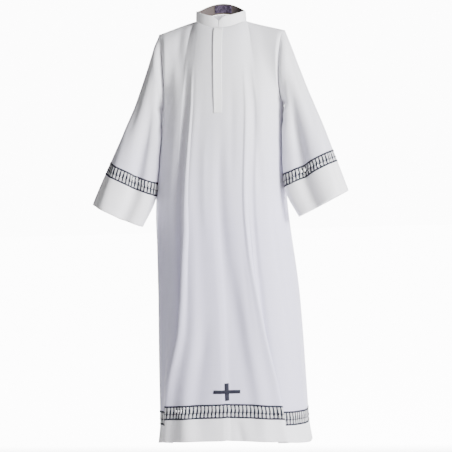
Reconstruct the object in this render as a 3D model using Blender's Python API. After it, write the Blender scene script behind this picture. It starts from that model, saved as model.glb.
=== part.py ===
"""Alb robe: a long white liturgical robe, filled out as if worn, with no wearer.

Metres, +Z up, +X to the wearer's left, and the front faces -Y.
The origin is between the two shoulder seams at the base of the neck.
Every cloth piece is a closed wall: an outer surface, an inner one and the rims between them.
The cloth of the body is addressed by a cloth angle, 0 at the centre front, 90 at the
wearer's left side seam and 180 at the centre back, and by its height.
"""

import math
from functools import lru_cache

import bpy
from mathutils import Vector

MM = 0.001

# Cloth thicknesses and seams
CLOTH = 1.2 * MM
DOUBLE_CLOTH = 1.8 * MM
COLLAR_CLOTH = 2.0 * MM
SEAM_GAP = 0.3 * MM
LACE_SEAM_GAP = 0.5 * MM

# Heights of the body
UNDERARM_Z = -0.300
PLACKET_END_Z = -0.334
COARSE_ROW_HEIGHTS = (-0.334, -0.430, -0.550)
FINE_ROW_HEIGHTS = (-0.680, -0.820, -0.960, -1.090, -1.210)
UPPER_ROWS = 9

# How the whole robe hangs: sideways shift by height, and the higher right shoulder
HANG_Z = (-1.478, -0.980, -0.645, -0.300)
HANG_X = (0.0, -0.0055, -0.0185, 0.0)
SHOULDER_TILT = 0.016
NECK_TILT = 0.030
NECK_TILT_FADES = (-0.20, -0.05)
TILT_FADES_FROM = -0.10
TILT_FADES_TO = -0.45

# Shape of the body's ring, one row for each height
RING_Z = (-1.478, -1.200, -0.980, -0.645, -0.300)
RING_HALF_WIDTH = (0.262, 0.256, 0.249, 0.229, 0.210)
RING_FRONT_DEPTH = (0.182, 0.174, 0.166, 0.148, 0.128)
RING_BACK_DEPTH = (0.205, 0.190, 0.176, 0.146, 0.118)
RING_SQUARENESS = (2.60, 2.52, 2.45, 2.35, 2.30)

# Front pleats: a front panel that laps over the side gores, each side at its own angles
FRONT_PLEAT_AT = 35.0
PLEAT_SPAN = 16.0
PLEAT_FLATNESS = 0.10
PLEAT_FLATTENS = 0.045
PLEAT_Z = (-1.478, -1.330, -1.060, -0.845, -0.715, -0.390, -0.300)
LEFT_PLEAT_ANGLE = (41.0, 37.2, 27.5, 24.0, 24.5, 27.0, 27.0)
RIGHT_PLEAT_ANGLE = (52.0, 48.5, 30.5, 28.0, 26.0, 27.0, 27.0)
FRONT_PLEAT_SWEEP = (9.0, 8.2, 4.2, 1.6, 0.6, 0.0, 0.0)
FRONT_PLEAT_RISE = (0.0105, 0.0105, 0.010, 0.009, 0.008, 0.006, 0.004)

# Back pleats: softer, rolled and not lapped
BACK_PLEAT_AT = 145.0
BACK_PLEAT_ANGLE = (137.0, 139.0, 144.0, 147.0, 149.0, 152.0, 152.0)
BACK_PLEAT_SWEEP = (4.0, 3.4, 1.8, 0.9, 0.4, 0.0, 0.0)
BACK_PLEAT_RISE = (0.015, 0.014, 0.012, 0.010, 0.008, 0.005, 0.004)

# Height over which a soft fold grows to its full depth
FOLD_GROWTH = 0.75

# Soft rolls and troughs: cloth angle, half-width, depth at the hem, height where it fades
SOFT_FOLDS = (
    {"at": 5.5, "half_width": 6.5, "depth": -0.008, "fades_z": -0.25},
    {"at": 13.0, "half_width": 6.0, "depth": -0.002, "fades_z": -0.45},
    {"at": 21.0, "half_width": 5.0, "depth": 0.003, "fades_z": -0.60},
    {"at": -12.0, "half_width": 7.0, "depth": -0.003, "fades_z": -0.70},
    {"at": -22.0, "half_width": 5.0, "depth": 0.007, "fades_z": -0.40},
    {"at": -60.0, "half_width": 9.0, "depth": -0.009, "fades_z": -0.10},
    {"at": 66.0, "half_width": 10.0, "depth": -0.006, "fades_z": -0.30},
    {"at": 112.0, "half_width": 8.0, "depth": -0.011, "fades_z": -0.35},
    {"at": -114.0, "half_width": 8.0, "depth": -0.010, "fades_z": -0.30},
    {"at": 168.0, "half_width": 6.0, "depth": -0.010, "fades_z": -0.30},
    {"at": 180.0, "half_width": 5.0, "depth": 0.006, "fades_z": -0.40},
    {"at": -167.0, "half_width": 6.0, "depth": -0.009, "fades_z": -0.50},
)

# Neckline, collar and shoulders
NECK_HALF_WIDTH = 0.0885
NECK_FRONT_DEPTH = 0.066
NECK_BACK_DEPTH = 0.062
NECK_SIDE_Z = -0.008
NECK_FRONT_DROP = 0.029
NECK_BACK_RISE = 0.030
NECK_TURNS = 45.0
COLLAR_SIDE_HEIGHT = 0.0345
COLLAR_FRONT_EXTRA = 0.0045
COLLAR_BACK_EXTRA = 0.0035
COLLAR_LEAN = 0.002
COLLAR_NOTCH_DEPTH = 0.0165
COLLAR_NOTCH_HALF_WIDTH = 0.025
COLLAR_NOTCH_POWER = 1.5
COLLAR_SPLIT_ANGLE = 0.55
COLLAR_NOTCH_ANGLES = (2.5, 5.0, 8.0)
SHOULDER_X = 0.222
SHOULDER_Y = 0.004
SHOULDER_Z = -0.047

# Armhole: a ring from the underarm, round the front or the back, to the shoulder tip
ARMHOLE_FRONT_DEPTH = 0.078
ARMHOLE_BACK_DEPTH = 0.086
ARMHOLE_FRONT_INSET = 0.014
ARMHOLE_BACK_INSET = 0.006
ARMHOLE_BLEND_FROM = 38.0
ARMHOLE_BLEND_POWER = 1.6

# How round the chest's upright curve and its roll over the shoulder are, 0 to 1
CHEST_ROUND = 0.6
SHOULDER_ROUND = 0.75

# Steps over which directions are measured, and how near a seam they are taken
TURN_STEP = 0.1
CLIMB_STEP = 0.02
HEIGHT_STEP = 0.004
SEAM_MARGIN = 1.5

# Hem: heights of the openwork band and of the edge, by cloth angle from the centre front
HEM_ANGLES = (0.0, 20.0, 31.0, 42.0, 90.0, 130.0, 152.0, 180.0)
BAND_TOP_Z = (-1.3250, -1.3305, -1.3380, -1.3590, -1.3660, -1.3610, -1.3500, -1.3460)
HEM_EDGE_Z = (-1.4450, -1.4510, -1.4560, -1.4610, -1.4760, -1.4740, -1.4680, -1.4640)
HEM_BAND_HEIGHT = 0.040
HEM_FLARE = 0.008
HEM_FLARE_POWER = 1.6

# Sleeve stations, shoulder to cuff: outer edge, inner edge, middle and depths
SLEEVE_STATION = (0.0, 0.07, 0.22, 0.40, 0.57, 0.72, 0.78, 1.0)
SLEEVE_OUTER_X = (0.2220, 0.2365, 0.2722, 0.3105, 0.3540, 0.3915, 0.4050, 0.4476)
SLEEVE_OUTER_Z = (-0.0470, -0.0860, -0.1880, -0.2930, -0.3920, -0.4820, -0.5150, -0.6216)
SLEEVE_INNER_X = (0.2115, 0.2160, 0.2178, 0.2208, 0.2245, 0.2278, 0.2315, 0.2800)
SLEEVE_INNER_Z = (-0.2990, -0.3180, -0.3700, -0.4400, -0.5050, -0.5600, -0.5980, -0.7040)
SLEEVE_MIDDLE_Y = (0.0040, 0.0040, -0.0030, -0.0130, -0.0240, -0.0350, -0.0400, -0.0620)
SLEEVE_FRONT_DEPTH = (0.0820, 0.0820, 0.0790, 0.0750, 0.0710, 0.0680, 0.0680, 0.0660)
SLEEVE_BACK_DEPTH = (0.0820, 0.0830, 0.0800, 0.0760, 0.0720, 0.0690, 0.0680, 0.0660)
SLEEVE_BAND_TOP = 0.720
SLEEVE_BAND_BOTTOM = 0.780
CUFF_MIDDLE = 0.890
SLEEVE_RINGS = (0.0, 0.07, 0.15, 0.24, 0.34, 0.44, 0.54, 0.63, 0.72)
SLEEVE_DROP = 0.009
SLEEVE_COLUMNS_A_ROW = 2
SLEEVE_ROUND = 0.92
SLEEVE_FOLD_STARTS = 0.05
SLEEVE_FOLD_FULL = 0.55
SLEEVE_DROP_STARTS = 0.1

# Soft folds along the sleeve: ring angle at the shoulder and at the cuff, width and depth
SLEEVE_FOLDS = (
    {"from": 45.0, "to": 20.0, "half_width": 20.0, "depth": 0.007},
    {"from": 5.0, "to": -32.0, "half_width": 17.0, "depth": -0.009},
    {"from": 150.0, "to": 165.0, "half_width": 20.0, "depth": -0.008},
    {"from": 200.0, "to": 222.0, "half_width": 18.0, "depth": 0.006},
)

# Openwork of the bands: bundles of threads with a diamond gap between each two
LACE_PITCH = 0.0128
GAP_HALF_WIDTH = 0.0034
GAP_BOTTOM = 0.13
GAP_WAIST = 0.44
GAP_TOP = 0.88

# Share of a pleat's span, hidden in its lap, where the band is plain cloth
PLAIN_STEPS = (0.235, 0.80)

# Placket, cross and label
PLACKET_EDGE_ANGLE = 5.0
PLACKET_HALF_WIDTH = 0.0143
PLACKET_TOP = 0.95
CROSS_X = 0.005
CROSS_Z = -1.281
CROSS_HALF_WIDTH = 0.0455
CROSS_HALF_HEIGHT = 0.0295
CROSS_UPRIGHT_HALF = 0.0070
CROSS_BAR_HALF = 0.0060
CROSS_LIFT = 0.6 * MM
CROSS_THICKNESS = 1.0 * MM
SEARCH_TURN = 20.0
SEARCH_STEPS = 40
LABEL_HALF_ANGLE = 20.0
LABEL_BOTTOM = 0.18
LABEL_TOP = 0.86
LABEL_THICKNESS = 1.0 * MM

# Hook and eye of the collar
WIRE_RADIUS = 0.5 * MM
FASTENER_HEIGHT = 0.013
FASTENER_SHARE = 0.6
EYE_X = -0.0035
EYE_HALF_WIDTH = 0.0030
EYE_HALF_HEIGHT = 0.0022
EYE_GAP_ANGLE = 150.0
EYE_STEPS = 12
HOOK_X = (0.0070, 0.0010, -0.0026)

WHITE_CLOTH = (0.80, 0.80, 0.83, 1.0)
LACE_WHITE = (0.86, 0.86, 0.89, 1.0)
NAVY_THREAD = (0.045, 0.050, 0.110, 1.0)
LABEL_PURPLE = (0.120, 0.080, 0.160, 1.0)
STEEL = (0.35, 0.35, 0.38, 1.0)


def clear_scene():
    """Remove whatever the file opened with."""
    for item in list(bpy.data.objects):
        bpy.data.objects.remove(item, do_unlink=True)


def make_material(name, colour, roughness, metallic=0.0):
    """A plain Principled material."""
    material = bpy.data.materials.new(name)
    material.use_nodes = True
    shader = material.node_tree.nodes["Principled BSDF"]
    shader.inputs["Base Color"].default_value = colour
    shader.inputs["Roughness"].default_value = roughness
    shader.inputs["Metallic"].default_value = metallic
    return material


def knot_slopes(stops, values):
    """Slopes of a smooth curve through a table that never overshoots its values."""
    steps = [b - a for a, b in zip(stops, stops[1:])]
    rises = [(b - a) / step for a, b, step in zip(values, values[1:], steps)]
    slopes = [rises[0]]
    for before, after in zip(rises, rises[1:]):
        slopes.append(0.0 if before * after <= 0 else 2 * before * after / (before + after))
    slopes.append(rises[-1])
    return slopes


def table_value(stops, values, at):
    """Read a table at any place, on a smooth curve through its rows."""
    if at <= stops[0]:
        return values[0]
    if at >= stops[-1]:
        return values[-1]
    slopes = knot_slopes(stops, values)
    i = max(k for k in range(len(stops) - 1) if stops[k] <= at)
    step = stops[i + 1] - stops[i]
    t = (at - stops[i]) / step
    start, end = values[i], values[i + 1]
    leave, arrive = slopes[i] * step, slopes[i + 1] * step
    cubic = (2 * t**3 - 3 * t**2 + 1) * start + (t**3 - 2 * t**2 + t) * leave
    return cubic + (3 * t**2 - 2 * t**3) * end + (t**3 - t**2) * arrive


def straight_value(stops, values, at):
    """Read a table on the straight runs between its rows."""
    i = max(0, min(len(stops) - 2, sum(1 for stop in stops if stop <= at) - 1))
    share = (at - stops[i]) / (stops[i + 1] - stops[i])
    return values[i] + (values[i + 1] - values[i]) * share


def smooth_step(low, high, at):
    """0 below low, 1 above high, and smooth between."""
    t = max(0.0, min(1.0, (at - low) / (high - low)))
    return t * t * (3 - 2 * t)


def power(value, exponent):
    """A power that keeps the sign of its base."""
    return math.copysign(abs(value) ** exponent, value)


# The ring of the lower body

def ring_base(angle, z):
    """A point of the plain ring, a rounded rectangle, at a turn angle and a height."""
    exponent = 2 / table_value(RING_Z, RING_SQUARENESS, z)
    sine, cosine = math.sin(math.radians(angle)), math.cos(math.radians(angle))
    depths = RING_FRONT_DEPTH if cosine > 0 else RING_BACK_DEPTH
    x = table_value(RING_Z, RING_HALF_WIDTH, z) * power(sine, exponent)
    y = -table_value(RING_Z, depths, z) * power(cosine, exponent)
    return Vector((x, y, z))


def pleat_wave(cloth, centre, sweep):
    """Turn and rise of one pleat: positive on its lapping fold, negative on its hidden one."""
    place = (cloth - centre) / PLEAT_SPAN + 0.5
    if not 0 < place < 1:
        return 0.0, 0.0
    turn = 2 * math.pi * place
    flatness = PLEAT_FLATNESS + PLEAT_FLATTENS * sweep
    return sweep * math.sin(turn), math.sin(turn) + flatness * math.sin(2 * turn)


def placket_turn(z):
    """Turn angle at which the ring has the placket's half-width."""
    share = PLACKET_HALF_WIDTH / table_value(RING_Z, RING_HALF_WIDTH, z)
    return math.degrees(math.asin(share ** (table_value(RING_Z, RING_SQUARENESS, z) / 2)))


def soft_fold(cloth, z):
    """How far the soft rolls and troughs move the cloth out at one place."""
    total = 0.0
    for fold in SOFT_FOLDS:
        away = (cloth - fold["at"] + 180) % 360 - 180
        grown = smooth_step(fold["fades_z"], fold["fades_z"] - FOLD_GROWTH, z)
        total += fold["depth"] * grown * math.exp(-((away / fold["half_width"]) ** 2))
    return total


@lru_cache(maxsize=None)
def band_top(cloth):
    """Height of the openwork band's upper edge."""
    return table_value(HEM_ANGLES, BAND_TOP_Z, abs((cloth + 180) % 360 - 180))


def hem_edge(cloth):
    """Height of the robe's bottom edge."""
    return table_value(HEM_ANGLES, HEM_EDGE_Z, abs((cloth + 180) % 360 - 180))


def lower_point(cloth, z):
    """A point of the body's outer surface below the underarm."""
    return Vector(lower_place(round(cloth, 9), round(z, 9)))


@lru_cache(maxsize=None)
def lower_place(cloth, z):
    """Work out lower_point once for each place."""
    side = math.copysign(1.0, (cloth + 180) % 360 - 180)
    away = abs((cloth + 180) % 360 - 180)
    front_angles = LEFT_PLEAT_ANGLE if side > 0 else RIGHT_PLEAT_ANGLE
    front_angle = table_value(PLEAT_Z, front_angles, z)
    back_angle = table_value(PLEAT_Z, BACK_PLEAT_ANGLE, z)
    knots = (0.0, PLACKET_EDGE_ANGLE, FRONT_PLEAT_AT, 90.0, BACK_PLEAT_AT, 180.0)
    turns = (0.0, placket_turn(z), front_angle, 90.0, back_angle, 180.0)
    turn = straight_value(knots, turns, away)
    front_sweep = table_value(PLEAT_Z, FRONT_PLEAT_SWEEP, z)
    back_sweep = table_value(PLEAT_Z, BACK_PLEAT_SWEEP, z)
    front_turn, front_rise = pleat_wave(away, FRONT_PLEAT_AT, front_sweep)
    back_turn, back_rise = pleat_wave(away, BACK_PLEAT_AT, back_sweep)
    turn += front_turn + back_turn
    out = front_rise * table_value(PLEAT_Z, FRONT_PLEAT_RISE, z)
    out -= back_rise * table_value(PLEAT_Z, BACK_PLEAT_RISE, z)
    lower_line = band_top(cloth) - HEM_BAND_HEIGHT
    if z < lower_line:
        below = (lower_line - z) / (lower_line - hem_edge(cloth))
        out += HEM_FLARE * below**HEM_FLARE_POWER
    out += soft_fold(cloth, z)
    angle = side * turn
    point = ring_base(angle, z)
    ahead = ring_base(angle + 0.5, z) - ring_base(angle - 0.5, z)
    outward = Vector((ahead.y, -ahead.x, 0)).normalized()
    return tuple(point + outward * out)


# The upper body, from the underarm to the shoulders and the neck

def neck_point(angle):
    """A point of the neckline: 0 at the front, 90 at the wearer's left, 180 at the back."""
    sine, cosine = math.sin(math.radians(angle)), math.cos(math.radians(angle))
    if cosine > 0:
        depth, z = NECK_FRONT_DEPTH, NECK_SIDE_Z - NECK_FRONT_DROP * cosine**2
    else:
        depth, z = NECK_BACK_DEPTH, NECK_SIDE_Z + NECK_BACK_RISE * cosine**2
    return Vector((NECK_HALF_WIDTH * sine, SHOULDER_Y - depth * cosine, z))


def top_point(cloth):
    """A point of the top edge: the neckline, then the shoulder seam."""
    side = math.copysign(1.0, cloth)
    away = abs(cloth)
    if away <= NECK_TURNS:
        return neck_point(2 * cloth)
    if away >= 180 - NECK_TURNS:
        return neck_point(side * (2 * away - 180))
    share = (90 - abs(90 - away) - NECK_TURNS) / (90 - NECK_TURNS)
    start = neck_point(90)
    tip = Vector((SHOULDER_X, SHOULDER_Y, SHOULDER_Z))
    point = start.lerp(tip, share)
    gap = math.copysign(SEAM_GAP / 2, away - 90)
    return Vector((side * point.x, point.y + gap, point.z))


def armhole_point(climb, side, front):
    """A point of the armhole's edge: climb is 0 at the underarm and 1 at the shoulder tip."""
    turn = math.pi * (climb - 0.5)
    under = ring_base(90, UNDERARM_Z)
    height = (math.sin(turn) + 1) / 2
    depth = ARMHOLE_FRONT_DEPTH if front else -ARMHOLE_BACK_DEPTH
    inset = ARMHOLE_FRONT_INSET if front else ARMHOLE_BACK_INSET
    x = under.x + (SHOULDER_X - under.x) * height - inset * math.cos(turn)
    y = SHOULDER_Y * height - depth * math.cos(turn)
    return Vector((side * x, y, UNDERARM_Z + (SHOULDER_Z - UNDERARM_Z) * height))


def chest_curve(bottom, top, climb):
    """One line up the chest or back: upright at the underarm, and rolling over at the top."""
    quarter = climb * math.pi / 2
    rise = CHEST_ROUND * math.sin(quarter) + (1 - CHEST_ROUND) * climb
    inward = SHOULDER_ROUND * (1 - math.cos(quarter)) + (1 - SHOULDER_ROUND) * climb
    step = top - bottom
    return bottom + Vector((step.x * climb, step.y * inward, step.z * rise))


def upper_point(cloth, climb):
    """A point of the body's outer surface above the underarm."""
    side = math.copysign(1.0, cloth)
    away = abs(cloth)
    front = away <= 90
    point = chest_curve(lower_point(cloth, UNDERARM_Z), top_point(cloth), climb)
    near = max(0.0, (90 - abs(90 - away) - ARMHOLE_BLEND_FROM) / (90 - ARMHOLE_BLEND_FROM))
    seam = side * 90.0
    tip = Vector((side * SHOULDER_X, SHOULDER_Y, SHOULDER_Z))
    plain = chest_curve(lower_point(seam, UNDERARM_Z), tip, climb)
    return point + (armhole_point(climb, side, front) - plain) * near**ARMHOLE_BLEND_POWER


def body_point(cloth, row):
    """A point of the body: rows above 0 climb to the neck, rows below it are heights."""
    if row >= 0:
        return upper_point(cloth, row)
    return lower_point(cloth, row)


def body_normal(cloth, row):
    """The outward direction at a point of the body."""
    side = math.copysign(1.0, cloth)
    away = abs(cloth)
    if row > 0 and abs(90 - away) < SEAM_MARGIN:
        away = 90 + math.copysign(SEAM_MARGIN, away - 90)
    if row > 0:
        across = upper_point(side * away + TURN_STEP, row) - upper_point(side * away - TURN_STEP, row)
        low, high = row - CLIMB_STEP, min(1.0, row + CLIMB_STEP)
        up = upper_point(side * away, high) - upper_point(side * away, low)
    else:
        z = row or UNDERARM_Z
        across = lower_point(cloth + TURN_STEP, z) - lower_point(cloth - TURN_STEP, z)
        up = lower_point(cloth, z + HEIGHT_STEP) - lower_point(cloth, z - HEIGHT_STEP)
    return across.cross(up).normalized()


# Walls

def settle(point):
    """Move a point of the upright robe to where it hangs."""
    fade = smooth_step(TILT_FADES_TO, TILT_FADES_FROM, point.z)
    x = point.x + table_value(HANG_Z, HANG_X, point.z)
    near_neck = smooth_step(SHOULDER_X, NECK_HALF_WIDTH, abs(point.x))
    neck_tilt = NECK_TILT * near_neck * smooth_step(*NECK_TILT_FADES, point.z)
    return Vector((x, point.y, point.z - (SHOULDER_TILT * fade + neck_tilt) * point.x))


def make_object(name, vertices, faces, material):
    """An object from a mesh whose faces already point outwards."""
    mesh = bpy.data.meshes.new(name)
    mesh.from_pydata([tuple(v) for v in vertices], [], faces)
    mesh.validate()
    mesh.materials.append(material)
    mesh.shade_smooth()
    mesh.set_sharp_from_angle(angle=math.radians(40))
    made = bpy.data.objects.new(name, mesh)
    bpy.data.collections["alb_robe"].objects.link(made)
    return made


def triangles(face, points):
    """A face as triangles, split along its shorter diagonal."""
    if len(face) == 3:
        return [face]
    a, b, c, d = face
    if (points[a] - points[c]).length <= (points[b] - points[d]).length:
        return [[a, b, c], [a, c, d]]
    return [[a, b, d], [b, c, d]]


def make_wall(name, outer, inner, faces, material):
    """A closed wall from matching outer and inner points and the faces of the outer side."""
    count = len(outer)
    skin = [triangle for face in faces for triangle in triangles(face, outer)]
    used = {(a, b) for face in skin for a, b in zip(face, face[1:] + face[:1])}
    walls = list(skin)
    walls += [[count + i for i in reversed(face)] for face in skin]
    for a, b in sorted(used):
        if (b, a) not in used:
            walls += [[b, a, count + a], [b, count + a, count + b]]
    points = [settle(point) for point in list(outer) + list(inner)]
    return make_object(name, points, walls, material)


def ring_faces(rows, columns):
    """Faces of a closed tube whose points are listed ring by ring."""
    faces = []
    for r in range(rows - 1):
        for c in range(columns):
            after = (c + 1) % columns
            low, high = r * columns, (r + 1) * columns
            faces.append([low + c, low + after, high + after, high + c])
    return faces


def strip_faces(low_columns, high_columns, low_start, high_start):
    """Faces between two rows; the upper row may leave out columns of the lower one."""
    faces = []
    matched = [low_columns.index(column) for column in high_columns]
    for k in range(len(high_columns) - 1):
        first, last = matched[k], matched[k + 1]
        middle = (first + last) // 2
        left, right = high_start + k, high_start + k + 1
        for c in range(first, middle):
            faces.append([low_start + c, low_start + c + 1, left])
        for c in range(middle + 1, last):
            faces.append([low_start + c, low_start + c + 1, right])
        faces.append([low_start + middle, low_start + middle + 1, right, left])
    return faces


def tube_wall(name, outer_rows, inner_rows, material):
    """A closed tube's wall from rings of outer and inner points."""
    faces = ring_faces(len(outer_rows), len(outer_rows[0]))
    outer = [point for row in outer_rows for point in row]
    inner = [point for row in inner_rows for point in row]
    return make_wall(name, outer, inner, faces, material)


def sheet_wall(name, columns, outer_rows, inner_rows, material):
    """An open sheet's wall. columns holds, for each row, the names of its columns."""
    faces = []
    start = 0
    for low, high in zip(columns, columns[1:]):
        faces += strip_faces(low, high, start, start + len(low))
        start += len(low)
    outer = [point for row in outer_rows for point in row]
    inner = [point for row in inner_rows for point in row]
    return make_wall(name, outer, inner, faces, material)


# Columns of the body

LAP_STEPS = (
    0, 0.10, 0.17, 0.23, 0.27, 0.305, 0.34, 0.40, 0.5,
    0.60, 0.66, 0.695, 0.73, 0.77, 0.83, 0.9, 1,
)
ROLL_STEPS = (0, 0.10, 0.17, 0.25, 0.35, 0.5, 0.65, 0.75, 0.83, 0.90, 1)
COARSE_STEPS = (0, 0.17, 0.34, 0.66, 0.83, 1)
COARSE_ROLL_STEPS = (0, 0.17, 0.35, 0.65, 0.83, 1)
FRONT_CENTRE = (0.0, PLACKET_EDGE_ANGLE, 10.5, 16.0, 21.5)
FRONT_GORE = (49.0, 55.0, 61.0, 67.0, 73.0, 79.0, 85.0)
COARSE_FRONT_GORE = (49.0, 61.0, 73.0, 85.0)
BACK_GORE = (95.0, 101.0, 107.0, 114.0, 121.0, 129.0)
COARSE_BACK_GORE = (95.0, 107.0, 121.0, 129.0)
BACK_CENTRE = (160.0, 167.0, 173.5, 180.0)


def seam_angle():
    """Cloth angle from a side seam's middle to the edge of either panel."""
    run = (lower_point(91, UNDERARM_Z) - lower_point(89, UNDERARM_Z)).length / 2
    return SEAM_GAP / 2 / run


@lru_cache(maxsize=None)
def front_columns(fine=True):
    """Cloth angles across the front panel, from the wearer's right to the left."""
    start = FRONT_PLEAT_AT - PLEAT_SPAN / 2
    pleat = [start + PLEAT_SPAN * step for step in (LAP_STEPS if fine else COARSE_STEPS)]
    gore = [a for a in (FRONT_GORE if fine else COARSE_FRONT_GORE) if a > pleat[-1]]
    half = list(FRONT_CENTRE) + pleat + gore + [90 - seam_angle()]
    return [-angle for angle in reversed(half[1:])] + half


@lru_cache(maxsize=None)
def back_columns(fine=True):
    """Cloth angles across the back panel, from the wearer's left to the right."""
    start = BACK_PLEAT_AT - PLEAT_SPAN / 2
    pleat = [start + PLEAT_SPAN * step for step in (ROLL_STEPS if fine else COARSE_ROLL_STEPS)]
    gore = list(BACK_GORE if fine else COARSE_BACK_GORE)
    half = [90 + seam_angle()] + gore + pleat + list(BACK_CENTRE)
    return half + [360 - angle for angle in reversed(half[:-1])]


def wrap(cloth):
    """A cloth angle between -180 and 180."""
    return cloth if cloth <= 180 else cloth - 360


def climbs():
    """Rows of the upper body, as shares of the way from the underarm to the top."""
    return [i / UPPER_ROWS for i in range(UPPER_ROWS + 1)]


def armhole_middle(side):
    """The middle of one armhole ring."""
    low = armhole_point(0, side, True)
    high = armhole_point(1, side, True)
    return (low + high) / 2


def inner_body_point(cloth, row, thickness):
    """The wall's inner point, square to the armhole and shoulder seams along them."""
    point = body_point(cloth, row)
    if 0 <= row < 1 and abs(90 - abs(cloth)) < 1:
        inward = -body_normal(cloth, row)
        if inward.x * cloth > 0:
            inward.x = 0.0
        return point + inward.normalized() * thickness
    if row >= 1 and NECK_TURNS < abs(cloth) < 180 - NECK_TURNS:
        side = math.copysign(1.0, cloth)
        slope = Vector((SHOULDER_X, 0, SHOULDER_Z)) - Vector((NECK_HALF_WIDTH, 0, NECK_SIDE_Z))
        down = Vector((side * slope.z, 0, -slope.x)).normalized()
        return point + down * thickness
    return point - body_normal(cloth, row) * thickness


def build_body(cloth):
    """Front and back panels."""
    for name, across in (("front_panel", front_columns), ("back_panel", back_columns)):
        fine, coarse = across(True), across(False)
        columns = [fine]
        outer = [[body_point(wrap(c), band_top(c) + LACE_SEAM_GAP / 2) for c in fine]]
        inner = [[inner_body_point(wrap(c), band_top(c) + LACE_SEAM_GAP / 2, CLOTH) for c in fine]]
        rows = [(z, fine) for z in reversed(FINE_ROW_HEIGHTS)]
        rows += [(z, coarse) for z in reversed(COARSE_ROW_HEIGHTS)]
        rows += [(climb, coarse) for climb in climbs()]
        for row, used in rows:
            columns.append(used)
            outer.append([body_point(wrap(c), row) for c in used])
            inner.append([inner_body_point(wrap(c), row, CLOTH) for c in used])
        sheet_wall(name, columns, outer, inner, cloth)


# Hem and its openwork band

def arc_stops(point_at, start, end, steps=720):
    """Parameters and running lengths along a curve."""
    stops = [start + (end - start) * i / steps for i in range(steps + 1)]
    lengths = [0.0]
    last = point_at(stops[0])
    for stop in stops[1:]:
        point = point_at(stop)
        lengths.append(lengths[-1] + (point - last).length)
        last = point
    return stops, lengths


def at_length(stops, lengths, length):
    """The parameter at a running length."""
    i = max(0, min(len(lengths) - 2, sum(1 for known in lengths if known <= length) - 1))
    run = lengths[i + 1] - lengths[i]
    share = (length - lengths[i]) / run if run else 0.0
    return stops[i] + (stops[i + 1] - stops[i]) * share


def lace_wall(name, place, stretches, material):
    """An openwork wall. place(parameter, height share) gives an outer and an inner point.

    stretches lists the runs of the wall: (start, end, steps), where steps holds the
    columns of a plain run and is None for a run of diamond gaps.
    """
    shares = (0.0, GAP_BOTTOM, GAP_WAIST, GAP_TOP, 1.0)
    points = [place(stretches[0][0], share) for share in shares]
    last = [0, 1, 2, 3, 4]
    faces = []

    def join(here, exit_index):
        """Faces from the last column to this one, and the new last column."""
        nonlocal last
        for low in range(4):
            faces.append([last[low], here[low], here[low + 1], last[low + 1]])
        last = here[:2] + [exit_index] + here[3:]

    def plain_column(parameter):
        """A column with no gap."""
        base = len(points)
        points.extend(place(parameter, share) for share in shares)
        join([base, base + 1, base + 2, base + 3, base + 4], base + 2)

    for start, end, steps in stretches:
        if steps is not None:
            for step in steps:
                plain_column(step)
            continue
        stops, lengths = arc_stops(lambda s: place(s, GAP_WAIST)[0], start, end)
        gaps = round(lengths[-1] / LACE_PITCH)
        pitch = lengths[-1] / gaps
        for k in range(gaps):
            middle = (k + 0.5) * pitch
            centre = at_length(stops, lengths, middle)
            base = len(points)
            points.append(place(centre, 0.0))
            points.append(place(centre, GAP_BOTTOM))
            points.append(place(at_length(stops, lengths, middle - GAP_HALF_WIDTH), GAP_WAIST))
            points.append(place(at_length(stops, lengths, middle + GAP_HALF_WIDTH), GAP_WAIST))
            points.append(place(centre, GAP_TOP))
            points.append(place(centre, 1.0))
            join([base, base + 1, base + 2, base + 4, base + 5], base + 3)
        plain_column(end)
    return make_wall(name, [p[0] for p in points], [p[1] for p in points], faces, material)


def hem_lace_place(cloth, share):
    """Outer and inner points of the hem's band, 0 at its bottom edge and 1 at its top.

    They lie on the straight runs between the columns that the panels and the hem use.
    """
    columns = back_columns() if cloth > 90 else front_columns()
    i = max(0, min(len(columns) - 2, sum(1 for c in columns if c <= cloth) - 1))
    run = (cloth - columns[i]) / (columns[i + 1] - columns[i])
    ends = []
    for column in columns[i:i + 2]:
        high = band_top(column) - LACE_SEAM_GAP / 2
        low = band_top(column) - HEM_BAND_HEIGHT + LACE_SEAM_GAP / 2
        z = low + (high - low) * share
        point = lower_point(wrap(column), z)
        ends.append((point, point - body_normal(wrap(column), z) * CLOTH))
    (start, start_under), (end, end_under) = ends
    return start.lerp(end, run), start_under.lerp(end_under, run)


def hem_stretches(columns, centre, steps):
    """Runs of one half of the band: gaps on the open runs, plain cloth inside the pleats."""
    low, high = PLAIN_STEPS
    runs = []
    at = columns[0]
    for middle in sorted((centre, -centre) if centre < 90 else (centre, 360 - centre)):
        inside = [s for s in steps if low <= s <= high]
        if middle < 0 or middle > 180:
            inside = [1 - s for s in reversed(inside)]
        folds = [middle + PLEAT_SPAN * (s - 0.5) for s in inside]
        runs.append((at, folds[0], None))
        runs.append((folds[0], folds[-1], folds[1:]))
        at = folds[-1]
    runs.append((at, columns[-1], None))
    return runs


def build_hem(cloth, lace):
    """The openwork band above the hem and the doubled hem below it, front and back."""
    halves = (
        ("front", front_columns(), FRONT_PLEAT_AT, LAP_STEPS),
        ("back", back_columns(), BACK_PLEAT_AT, ROLL_STEPS),
    )
    for side, columns, centre, steps in halves:
        runs = hem_stretches(columns, centre, steps)
        lace_wall("hem_lace_" + side, hem_lace_place, runs, lace)
        outer, inner = [], []
        for share in (0.0, 0.5, 1.0):
            outer_row, inner_row = [], []
            for column in columns:
                top = band_top(column) - HEM_BAND_HEIGHT - LACE_SEAM_GAP / 2
                z = hem_edge(column) + (top - hem_edge(column)) * share
                point = lower_point(wrap(column), z)
                outer_row.append(point)
                inner_row.append(point - body_normal(wrap(column), z) * DOUBLE_CLOTH)
            outer.append(outer_row)
            inner.append(inner_row)
        sheet_wall("hem_border_" + side, [columns] * 3, outer, inner, cloth)


# Sleeves

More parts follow.
